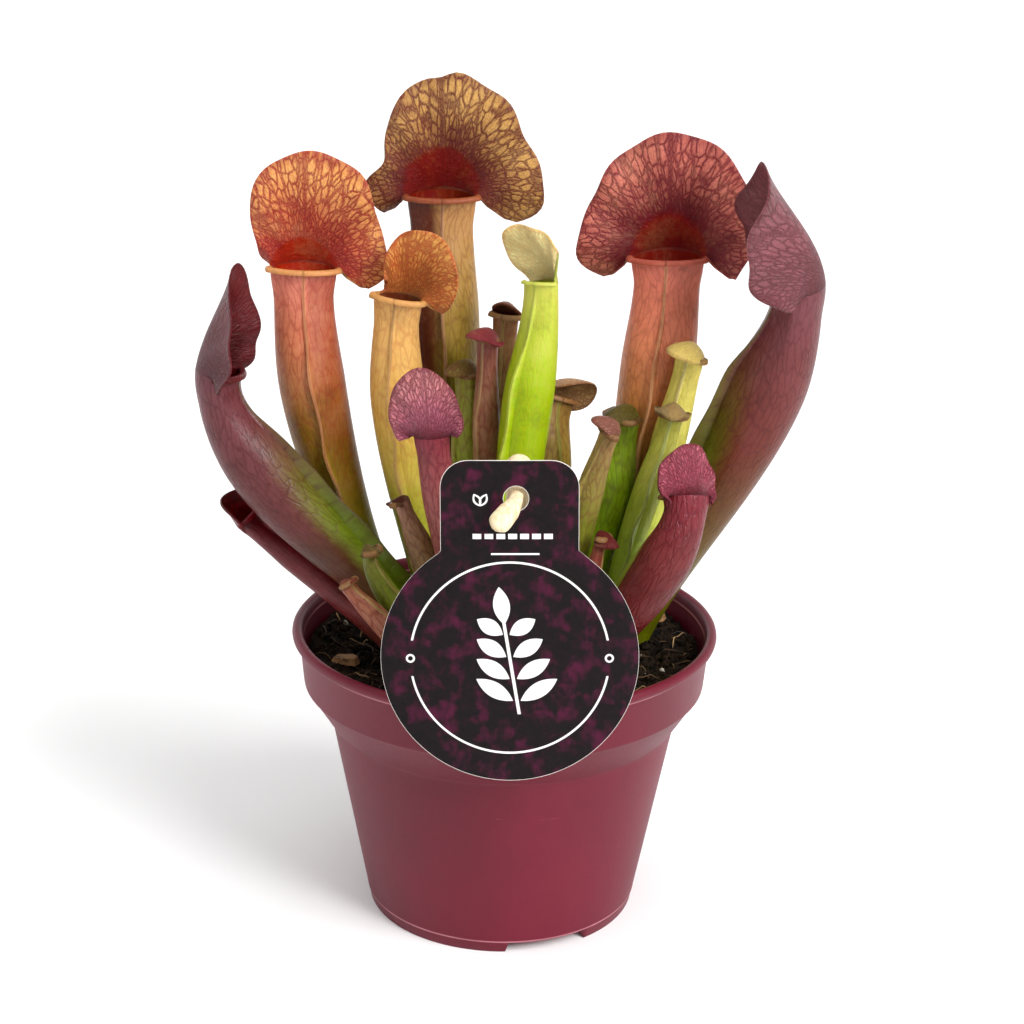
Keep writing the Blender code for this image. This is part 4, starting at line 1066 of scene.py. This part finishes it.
@dataclass
class Soil:
    """Dark peat with crumbs, fibres and white grit; the splinters of wood on it are the imported
    bark chips.
    """

    rings: int = 200
    steps: int = 420
    crumbs: int = 3600
    fibres: int = 300
    grit: int = 26

    @staticmethod
    def outline(height: np.ndarray) -> np.ndarray:
        """Radius of the soil at a height, a little inside the pot's wall."""
        return np.interp(height, [5.0, SHOULDER_LOW[1] + 0.5, SHOULDER_HIGH[1], 84.0],
                         [36.9, 47.2, 54.2, 56.0])

    @staticmethod
    def surface(x: np.ndarray, y: np.ndarray) -> np.ndarray:
        """Height of the top: lumps of about 10 mm with crumbs of 1 to 3 mm on them."""
        lumps = value_noise(x / 11, y / 11, 5, 3) * 1.7
        crumbly = np.abs(value_noise(x / 2.4, y / 2.4, 21, 4)) * 2.3
        edge = ease(np.hypot(x, y), 38, 53) * 1.4
        return SOIL_TOP - 0.9 + lumps + crumbly + edge

    def make(self) -> None:
        """Build the block of soil, then what lies on it."""
        turn = np.arange(self.steps) * 2 * pi / self.steps
        share = np.linspace(0.004, 1, self.rings)[:, None]
        radius = share * self.outline(np.array(SOIL_TOP))
        x, y = radius * np.cos(turn), radius * np.sin(turn)
        top = np.stack([x, y, self.surface(x, y)], -1)
        wall_z = np.array([70.0, SHOULDER_HIGH[1], SHOULDER_LOW[1] + 0.5, 40.0, 20.0, 5.2])
        wall_r = self.outline(wall_z)
        wall = np.stack([wall_r[:, None] * np.cos(turn), wall_r[:, None] * np.sin(turn),
                         np.broadcast_to(wall_z[:, None], (6, self.steps))], -1)
        base = wall[-1:] * np.array([0.02, 0.02, 1.0])
        grid = np.concatenate([top, wall, base])
        rows, count = grid.shape[:2]
        faces = wrapped_faces(rows, count)[:, ::-1].tolist()
        first, last = rows * count, (rows - 1) * count
        points = np.vstack([grid.reshape(-1, 3), grid[0].mean(0), grid[-1].mean(0)])
        faces += fan_faces(first, 0, count)
        faces += fan_faces(first + 1, last, count, flip=True)
        make_piece("peat", points, faces, self.peat(), ["soil"])
        self.scatter_crumbs()
        self.scatter_fibres()

    def spread(self, count: int, seed: int) -> Tuple[np.ndarray, np.random.Generator]:
        """Random places on the soil and the generator that made them."""
        draw = np.random.default_rng(seed)
        radius = 54.0 * np.sqrt(draw.uniform(0.02, 1, count))
        turn = draw.uniform(0, 2 * pi, count)
        x, y = radius * np.cos(turn), radius * np.sin(turn)
        return np.stack([x, y, self.surface(x, y)], -1), draw

    def scatter_crumbs(self) -> None:
        """Small many-sided lumps of peat and white grit, part sunk into the soil."""
        golden = (1 + 5 ** 0.5) / 2
        corners = unit(np.array([(0, a, b * golden) for a in (-1, 1) for b in (-1, 1)]
                                + [(a, b * golden, 0) for a in (-1, 1) for b in (-1, 1)]
                                + [(b * golden, 0, a) for a in (-1, 1) for b in (-1, 1)]))
        gaps = np.linalg.norm(corners[:, None] - corners[None], axis=2)
        faces = [(i, j, k) for i in range(12) for j in range(i + 1, 12) for k in range(j + 1, 12)
                 if max(gaps[i, j], gaps[j, k], gaps[i, k]) < 1.1]
        faces = [f if np.dot(np.cross(corners[f[1]] - corners[f[0]], corners[f[2]] - corners[f[0]]),
                             corners[f[0]]) > 0 else f[::-1] for f in faces]
        faces = np.array(faces)
        for name, count, seed, sizes, finish in (
                ("peat_crumbs", self.crumbs, 31, (0.25, 1.35), self.peat()),
                ("white_grit", self.grit, 47, (0.5, 1.1), self.white())):
            places, draw = self.spread(count, seed)
            size = sizes[0] + (sizes[1] - sizes[0]) * draw.uniform(0, 1, count) ** 2.5
            shape = corners[None] * draw.uniform(0.65, 1.3, (count, 12, 1))
            shape = shape * (size[:, None] * draw.uniform(0.6, 1.2, (count, 3)))[:, None]
            lift = np.stack([np.zeros(count), np.zeros(count), size * 0.35], -1)
            points = places[:, None] + shape + lift[:, None]
            all_faces = (faces[None] + 12 * np.arange(count)[:, None, None]).reshape(-1, 3)
            make_piece(name, points.reshape(-1, 3), all_faces, finish, [], smooth=False)

    def scatter_fibres(self) -> None:
        """Thin bent roots and fibres: three-sided bars through five points each."""
        count = self.fibres
        places, draw = self.spread(count, 59)
        length = draw.uniform(3, 13, count)
        turn = draw.uniform(0, 2 * pi, count)
        bend = draw.uniform(-0.9, 0.9, count)
        share = np.linspace(-0.5, 0.5, 5)
        heading = turn[:, None] + bend[:, None] * share
        x = places[:, 0, None] + length[:, None] * share * np.cos(heading)
        y = places[:, 1, None] + length[:, None] * share * np.sin(heading)
        keep = np.minimum(1.0, 53.5 / np.maximum(np.hypot(x, y), 1e-6))
        x, y = x * keep, y * keep
        arch = draw.uniform(0.2, 1.6, count)[:, None] * (1 - (2 * share) ** 2)
        z = self.surface(x, y) + 0.25 + arch
        taper = 1 - 0.7 * (2 * share) ** 4
        thick = draw.uniform(0.10, 0.26, count)[:, None, None] * taper[None, :, None]
        spin = np.arange(3) * 2 * pi / 3
        side = np.stack([-np.sin(heading), np.cos(heading)], -1)
        offset = thick * np.cos(spin)
        points = np.stack([x[..., None] + side[..., 0, None] * offset,
                           y[..., None] + side[..., 1, None] * offset,
                           z[..., None] + thick * np.sin(spin)], -1)
        ring = np.arange(15).reshape(5, 3)
        quads = np.stack([ring[:-1], np.roll(ring, -1, 1)[:-1], np.roll(ring, -1, 1)[1:],
                          ring[1:]], -1).reshape(-1, 4)
        base = 15 * np.arange(count)[:, None, None]
        faces = (quads[None] + base).reshape(-1, 4).tolist()
        faces += (np.array([[2, 1, 0], [12, 13, 14]])[None] + base).reshape(-1, 3).tolist()
        tone = np.repeat(draw.uniform(0, 1, count), 15)
        make_piece("soil_fibres", points.reshape(-1, 3), faces, self.straw(), [],
                   {"tone": tone})

    @staticmethod
    def peat() -> bpy.types.Material:
        """Nearly black brown with paler crumbs."""
        paint = Paint("damp_peat")
        where = paint.place()
        cloud = paint.noise(where, 260.0, 5.0, 0.65)
        lumps = paint.noise(where, 70.0, 3.0)
        colour = paint.mix(cloud.ease(0.35, 0.7), (8, 5, 4), (42, 30, 20))
        colour = paint.mix(lumps.ease(0.55, 0.75) * 0.5, colour, (52, 36, 24))
        speck = paint.noise(where, 1100.0, 2.0).ease(0.66, 0.74)
        colour = paint.mix(speck * 0.5, colour, (120, 92, 62))
        return paint.finish(colour, 0.8 + cloud * 0.2, cloud * 0.7 + speck * 0.3, 0.0008,
                            Specular_IOR_Level=0.12)

    @staticmethod
    def straw() -> bpy.types.Material:
        """Brown to straw-coloured fibres."""
        paint = Paint("soil_fibre")
        colour = paint.ramp(paint.read("tone"), ((0.0, (30, 20, 13)), (0.6, (78, 54, 34)),
                                                 (0.92, (130, 98, 62)), (1.0, (176, 142, 96))))
        grain = paint.noise(paint.place(), 900.0)
        return paint.finish(colour, 0.7 + grain * 0.15, grain, 0.0001)

    @staticmethod
    def white() -> bpy.types.Material:
        """Porous white grit."""
        paint = Paint("white_grit")
        grain = paint.noise(paint.place(), 800.0, 4.0)
        colour = paint.mix(grain.ease(0.3, 0.7), (150, 142, 128), (214, 208, 196))
        return paint.finish(colour, 0.9, grain, 0.0004)


# ---------------------------------------------------------------- card and stake


class Card:
    """The round label with its tab: printed board with a pale cut edge and a plain print."""

    def matrix(self) -> np.ndarray:
        """Place of the card: it leans back and is rolled a little."""
        roll = Matrix.Rotation(radians(-CARD_ROLL), 4, "Y")
        lean = Matrix.Rotation(radians(-CARD_LEAN), 4, "X")
        return np.array(Matrix.Translation(CARD_CENTRE) @ roll @ lean)

    def outline(self, count: int) -> np.ndarray:
        """Edge of the card, clockwise from the right of the tab: disc, corner, corner."""
        shoulder = asin(TAB_HALF / CARD_RADIUS)
        turn = np.linspace(shoulder, 2 * pi - shoulder, 200)
        disc = np.stack([CARD_RADIUS * np.sin(turn), CARD_RADIUS * np.cos(turn)], -1)
        arc = np.linspace(0, pi / 2, 14)
        corner = np.stack([TAB_HALF - TAB_CORNER + TAB_CORNER * np.cos(arc),
                           CARD_TOP - TAB_CORNER + TAB_CORNER * np.sin(arc)], -1)
        edge = np.vstack([disc, corner * (-1, 1), corner[::-1], disc[:1]])
        travelled = np.r_[0, np.cumsum(np.linalg.norm(np.diff(edge, axis=0), axis=1))]
        even = np.linspace(0, travelled[-1], count + 1)[:-1]
        return np.stack([np.interp(even, travelled, edge[:, k]) for k in (0, 1)], -1)

    def make(self) -> None:
        """Build the card as rings between its hole and its edge, front, edge and back."""
        count = 240
        edge = self.outline(count)
        hole = np.array(CARD_HOLE)
        spoke = edge - hole
        start = hole + CARD_HOLE_RADIUS * unit(spoke)
        share = np.linspace(0, 1, 22)[:, None, None]
        sheet = start + (edge - start) * share
        sheet[1], sheet[-2] = sheet[0] + unit(spoke) * 0.2, sheet[-1] - unit(spoke) * 0.2
        bow = 0.35 * (sheet[..., 0] / CARD_RADIUS) ** 2
        half = CARD_THICK / 2
        soft = np.ones(len(share))
        soft[0] = soft[-1] = 0.8
        front = np.stack([sheet[..., 0], bow - half * soft[:, None], sheet[..., 1]], -1)
        back = np.stack([sheet[..., 0], bow + half * soft[:, None], sheet[..., 1]], -1)
        grid = np.concatenate([front, back[::-1]])
        rows = len(grid)
        index = np.arange(rows * count).reshape(rows, count)
        after, below = np.roll(index, -1, 1), np.roll(index, -1, 0)
        faces = np.stack([index, below, np.roll(below, -1, 1), after], -1).reshape(-1, 4)
        place = self.matrix()
        flat = grid.reshape(-1, 3)
        points = flat @ place[:3, :3].T + place[:3, 3]
        side = np.zeros((rows, count))
        side[len(front):] = 1.0
        cut = np.zeros((rows, count))
        cut[[0, len(front) - 1, len(front), rows - 1]] = 1.0
        carried = {"print": np.c_[flat[:, 0], flat[:, 2], np.zeros(len(flat))],
                   "side": side.ravel(), "cut": cut.ravel()}
        make_piece("label_card_printed", points, faces, self.finish(), ["label_card"],
                   carried)

    @staticmethod
    def leaf(x: Signal, y: Signal, centre: Tuple[float, float], length: float,
             width: float, degrees: float) -> Signal:
        """One pointed leaf: 1 inside two arcs that meet at its ends."""
        turn = radians(degrees)
        u = (x - centre[0]) * cos(turn) + (y - centre[1]) * sin(turn)
        v = (y - centre[1]) * cos(turn) - (x - centre[0]) * sin(turn)
        share = u * (2 / length)
        swell = (1 - share * share).top(0.0)
        return (v.size() - swell * (width / 2)).ease(0.12, -0.12) * share.size().ease(1.02, 0.98)

    def marks(self, x: Signal, y: Signal) -> Signal:
        """White marks: a ring, dots, short bars and a sprig of leaves."""
        reach = (x * x + y * y) ** 0.5
        found = (reach - 25.4).size().ease(0.36, 0.16) * y.size().ease(4.6, 5.0)
        for dot_x in (-25.4, 25.4):
            away = ((x - dot_x) ** 2.0 + y ** 2.0) ** 0.5
            found = found.top((away - 0.9).size().ease(0.34, 0.14))
        bar = (y - 27.6).size().ease(0.30, 0.14) * (x - 1.4).size().ease(6.2, 6.0)
        line = (y - 32.2).size().ease(0.75, 0.6) * (x - 0.75).size().ease(10.3, 10.1)
        dash = ((x + 60.0) * (2 * pi / 3.0)).sine().ease(-0.75, -0.6)
        found = found.top(bar).top(line * dash)
        for k, degrees in enumerate((62.0, 118.0)):
            petal = self.leaf(x, y, (-6.6 - 1.6 * k, 41.6), 3.6, 2.0, degrees)
            core = self.leaf(x, y, (-6.6 - 1.6 * k, 41.6), 2.6, 1.1, degrees)
            found = found.top(petal * (1 - core))
        stem = (x + y * 0.16).size().ease(0.5, 0.28) * (y + 2.5).size().ease(12.6, 12.2)
        found = found.top(stem)
        for k in range(4):
            height = -11.0 + 5.6 * k
            size = 11.0 - 1.1 * k
            for side in (-1, 1):
                centre = (side * (size * 0.46 + 0.6) - height * 0.16, height + 2.6)
                found = found.top(self.leaf(x, y, centre, size, 4.0, side * 32.0))
        return found.top(self.leaf(x, y, (-2.1, 14.0), 10.0, 4.2, 98.0))

    def finish(self) -> bpy.types.Material:
        """Dark maroon print with magenta blotches and white marks; the cut edge is white."""
        paint = Paint("label_print")
        spot = paint.read_vector("print")
        split = {axis: paint.node("ShaderNodeSeparateXYZ", None, {0: spot}, place)
                 for place, axis in enumerate("xy")}
        cloud = paint.noise(spot, 0.17, 2.0, 0.55, 0.3)
        mottled = paint.noise(spot, 0.5, 5.0, 0.7)
        streak = paint.noise(paint.stretch(spot, (0.9, 0.3, 1.0)), 1.0, 3.0)
        colour = paint.mix(mottled.ease(0.42, 0.68), (8, 3, 5), (18, 6, 10))
        blotch = (cloud * 0.8 + streak * 0.2 + (mottled - 0.5) * 0.2).ease(0.46, 0.74)
        colour = paint.mix(blotch * 0.8, colour, (78, 10, 46))
        front = 1 - paint.read("side")
        colour = paint.mix(self.marks(split["x"], split["y"]) * front, colour,
                           (240, 238, 236))
        colour = paint.mix(paint.read("cut").ease(0.35, 0.6), colour, (226, 222, 214))
        colour = paint.mix(paint.read("side") * 0.9, colour, (208, 202, 192))
        fibre = paint.noise(spot, 6.0, 3.0)
        return paint.finish(colour, 0.5 + mottled * 0.12, fibre, 0.00003,
                            Specular_IOR_Level=0.16)


class Stake:
    """A round wooden stick with a domed head and a peg that holds the card."""

    @staticmethod
    def bar(centres: np.ndarray, radii: np.ndarray, steps: int = 28,
            flat: float = 1.0) -> Tuple[np.ndarray, List[List[int]], np.ndarray]:
        """A closed round bar through centres, with its own radius at each; flat thins it."""
        tangent = unit(np.gradient(centres, axis=0))
        side = unit(np.cross(tangent, (1.0, 0.05, 0.0)))
        other = np.cross(tangent, side)
        turn = np.arange(steps) * 2 * pi / steps
        ring = (side[:, None] * np.cos(turn)[:, None] * flat
                + other[:, None] * np.sin(turn)[:, None])
        grid = centres[:, None] + ring * radii[:, None, None]
        faces = wrapped_faces(len(grid), steps).tolist()
        total, last = len(grid) * steps, (len(grid) - 1) * steps
        points = np.vstack([grid.reshape(-1, 3), centres[0], centres[-1]])
        faces += fan_faces(total, 0, steps, flip=True)
        faces += fan_faces(total + 1, last, steps)
        along = np.linspace(0, 1, len(grid))[:, None].repeat(steps, 1).ravel()
        return points, faces, np.r_[along, 0.0, 1.0]

    def make(self) -> None:
        """Build the stick and the peg through the card's hole."""
        foot, head = np.array(STAKE_FOOT), np.array(STAKE_HEAD)
        way = unit(head - foot)
        dome = np.linspace(0, pi / 2 - 0.08, 8)
        length = np.linalg.norm(head - foot)
        places = np.r_[0.0, 3.0, 6.0, np.linspace(12, length - 1, 12), length + 2.6 * np.sin(dome)]
        radii = np.r_[0.5, 1.9, STAKE_RADIUS, np.full(12, STAKE_RADIUS), STAKE_RADIUS * np.cos(dome)]
        stick = self.bar(foot + way * places[:, None], radii)
        place = Card().matrix()
        hole = place[:3, :3] @ np.array((CARD_HOLE[0], 0.0, CARD_HOLE[1])) + place[:3, 3]
        knots = hole + np.array([(0.6, 4.0, 1.0), (0.1, 0.9, 0.1), (-0.3, -1.4, -0.5),
                                 (-1.6, -3.7, -2.0), (-3.6, -5.1, -4.2), (-5.4, -5.8, -6.4)])
        share = np.linspace(0, 1, 26)
        centres = np.stack([curve_through(knots[:, k], share) for k in range(3)], -1)
        round_end = np.sqrt(np.clip(1 - ease(share, 0.82, 1.02) ** 2, 0.02, 1))
        width = np.interp(share, np.linspace(0, 1, 6), [1.7, 1.7, 1.9, 2.7, 2.9, 2.8]) * round_end
        peg = self.bar(centres, width, 28, 0.8)
        points = np.vstack([stick[0], peg[0]])
        faces = stick[1] + [[i + len(stick[0]) for i in f] for f in peg[1]]
        make_piece("label_stake_wood", points, faces, self.finish(), ["label_stake"],
                   {"grain": np.r_[stick[2] * 6, peg[2]]})

    @staticmethod
    def finish() -> bpy.types.Material:
        """Pale birch: fine grain along the stick, a few darker streaks."""
        paint = Paint("pale_wood")
        where = paint.place()
        grain = paint.noise(paint.stretch(where, (900.0, 900.0, 60.0)), 1.0, 4.0, 0.65)
        broad = paint.noise(paint.stretch(where, (200.0, 200.0, 18.0)), 1.0, 3.0)
        colour = paint.mix(grain.ease(0.35, 0.7), (236, 218, 182), (208, 180, 136))
        colour = paint.mix(broad.ease(0.55, 0.75) * 0.5, colour, (186, 150, 104))
        return paint.finish(colour, 0.55 + grain * 0.15, grain, 0.00015)


class CarriedOver:
    """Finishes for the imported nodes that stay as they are."""

    NODES = ("rhizome", "bark_chip_1", "bark_chip_2", "bark_chip_3")

    def make(self) -> None:
        """Give the creeping stem and the bark chips their materials."""
        for name in self.NODES:
            finish = self.stem() if name == "rhizome" else self.bark(name)
            node = frame["nodes"][name]
            for slot in node.material_slots:
                slot.material = finish
            LOG.info("%s: keeps its packed shape", name)

    @staticmethod
    def stem() -> bpy.types.Material:
        """Brown skin with green and papery patches."""
        paint = Paint("creeping_stem")
        where = paint.place()
        cloud = paint.noise(where, 160.0, 5.0, 0.65)
        colour = paint.mix(cloud.ease(0.35, 0.65), (46, 30, 18), (104, 84, 40))
        return paint.finish(colour, 0.7 + cloud * 0.2, cloud, 0.001)

    @staticmethod
    def bark(name: str) -> bpy.types.Material:
        """Split wood: tan with dark grain lines."""
        paint = Paint(name + "_wood")
        where = paint.place()
        lines = paint.noise(paint.stretch(where, (220.0, 1400.0, 1400.0)), 1.0, 4.0, 0.7)
        cloud = paint.noise(where, 240.0, 3.0)
        colour = paint.mix(lines.ease(0.35, 0.68), (168, 124, 80), (96, 62, 36))
        colour = paint.mix(cloud.ease(0.5, 0.75) * 0.6, colour, (58, 38, 24))
        return paint.finish(colour, 0.8 + cloud * 0.1, lines, 0.0006)


# ---------------------------------------------------------------- studio


@dataclass
class Studio:
    """Pale floor, soft lights and the camera."""

    pitch: float = 19.5         # degrees below the horizon
    yaw: float = 0.15
    roll: float = 0.97
    lens: float = 80.5
    place: Point = (0.0, -601.6, 330.2)

    def make(self) -> None:
        """Build the whole studio."""
        self.floor()
        self.camera()
        self.lights()

    def floor(self) -> None:
        """A wide round sheet that curves up far away: height grows with the square past it."""
        reach = np.r_[np.linspace(1, 2200, 8), np.linspace(2600, 7000, 24)][:, None]
        turn = np.arange(48) * 2 * pi / 48
        height = np.clip(reach - 2200, 0, None) ** 2 / 7000
        points = np.stack([reach * np.cos(turn), reach * np.sin(turn),
                           np.broadcast_to(height, (len(reach), 48))], -1).reshape(-1, 3) * MM
        faces = wrapped_faces(len(reach), 48)[:, ::-1].tolist() + [list(range(48))]
        mesh = bpy.data.meshes.new("studio_floor")
        mesh.from_pydata(points.tolist(), [], faces)
        mesh.shade_smooth()
        paint = Paint("floor_paper")
        cloud = paint.noise(paint.place(), 3.0)
        mesh.materials.append(paint.finish(paint.mix(cloud, (243, 243, 243), (246, 246, 246)),
                                           0.9, None))
        sheet = bpy.data.objects.new("studio_floor", mesh)
        bpy.context.scene.collection.objects.link(sheet)

    def camera(self) -> None:
        """Place the camera from its pitch, yaw and roll."""
        pitch, yaw, roll = radians(self.pitch), radians(self.yaw), radians(self.roll)
        ahead = np.array([sin(yaw) * cos(pitch), cos(yaw) * cos(pitch), -sin(pitch)])
        right = np.array([cos(yaw), -sin(yaw), 0.0])
        up = np.cross(right, ahead)
        right, up = right * cos(roll) + up * sin(roll), up * cos(roll) - right * sin(roll)
        data = bpy.data.cameras.new("front_camera")
        data.lens, data.sensor_width = self.lens, 36.0
        camera = bpy.data.objects.new("front_camera", data)
        matrix = np.eye(4)
        matrix[:3, 0], matrix[:3, 1], matrix[:3, 2] = right, up, -ahead
        matrix[:3, 3] = (np.array(self.place) - BOX_MIDDLE) * MM
        camera.matrix_world = Matrix(matrix.tolist())
        bpy.context.scene.collection.objects.link(camera)
        bpy.context.scene.camera = camera

    def lights(self) -> None:
        """A soft key from the upper right, a wide light from above, a lamp for sheen, pale air."""
        world = bpy.data.worlds.new("studio_air")
        world.use_nodes = True
        background = world.node_tree.nodes["Background"]
        background.inputs["Color"].default_value = (1.0, 1.0, 1.0, 1.0)
        background.inputs["Strength"].default_value = 0.25
        bpy.context.scene.world = world
        bpy.context.scene.view_settings.view_transform = "Standard"
        for name, kind, place, size, power in (
                ("key", "SUN", (620, -560, 900), radians(32), 2.5),
                ("top", "SUN", (-150, -100, 1100), radians(60), 1.5),
                ("sheen", "AREA", (520, -620, 520), 260 * MM, 2.8)):
            data = bpy.data.lights.new(name, kind)
            data.energy = power
            if kind == "SUN":
                data.angle = size
            else:
                data.shape, data.size = "DISK", size
            lamp = bpy.data.objects.new(name, data)
            spot = np.array(place, float)
            back = unit(spot - np.array((0.0, 0.0, 120.0)))
            right = unit(np.cross((0.0, 0.0, 1.0), back))
            matrix = np.eye(4)
            matrix[:3, 0], matrix[:3, 1], matrix[:3, 2] = right, np.cross(back, right), back
            matrix[:3, 3] = spot * MM
            lamp.matrix_world = Matrix(matrix.tolist())
            bpy.context.scene.collection.objects.link(lamp)


def main() -> None:
    """Build the studio, then the plant part by part."""
    logging.basicConfig(level=logging.INFO, format="%(name)s %(message)s")
    Studio().make()
    for part in (Pot(), Soil(), Plant(), Card(), Stake(), CarriedOver()):
        LOG.info("building %s", type(part).__name__)
        part.make()
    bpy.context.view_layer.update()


if __name__ == "__main__":
    main()
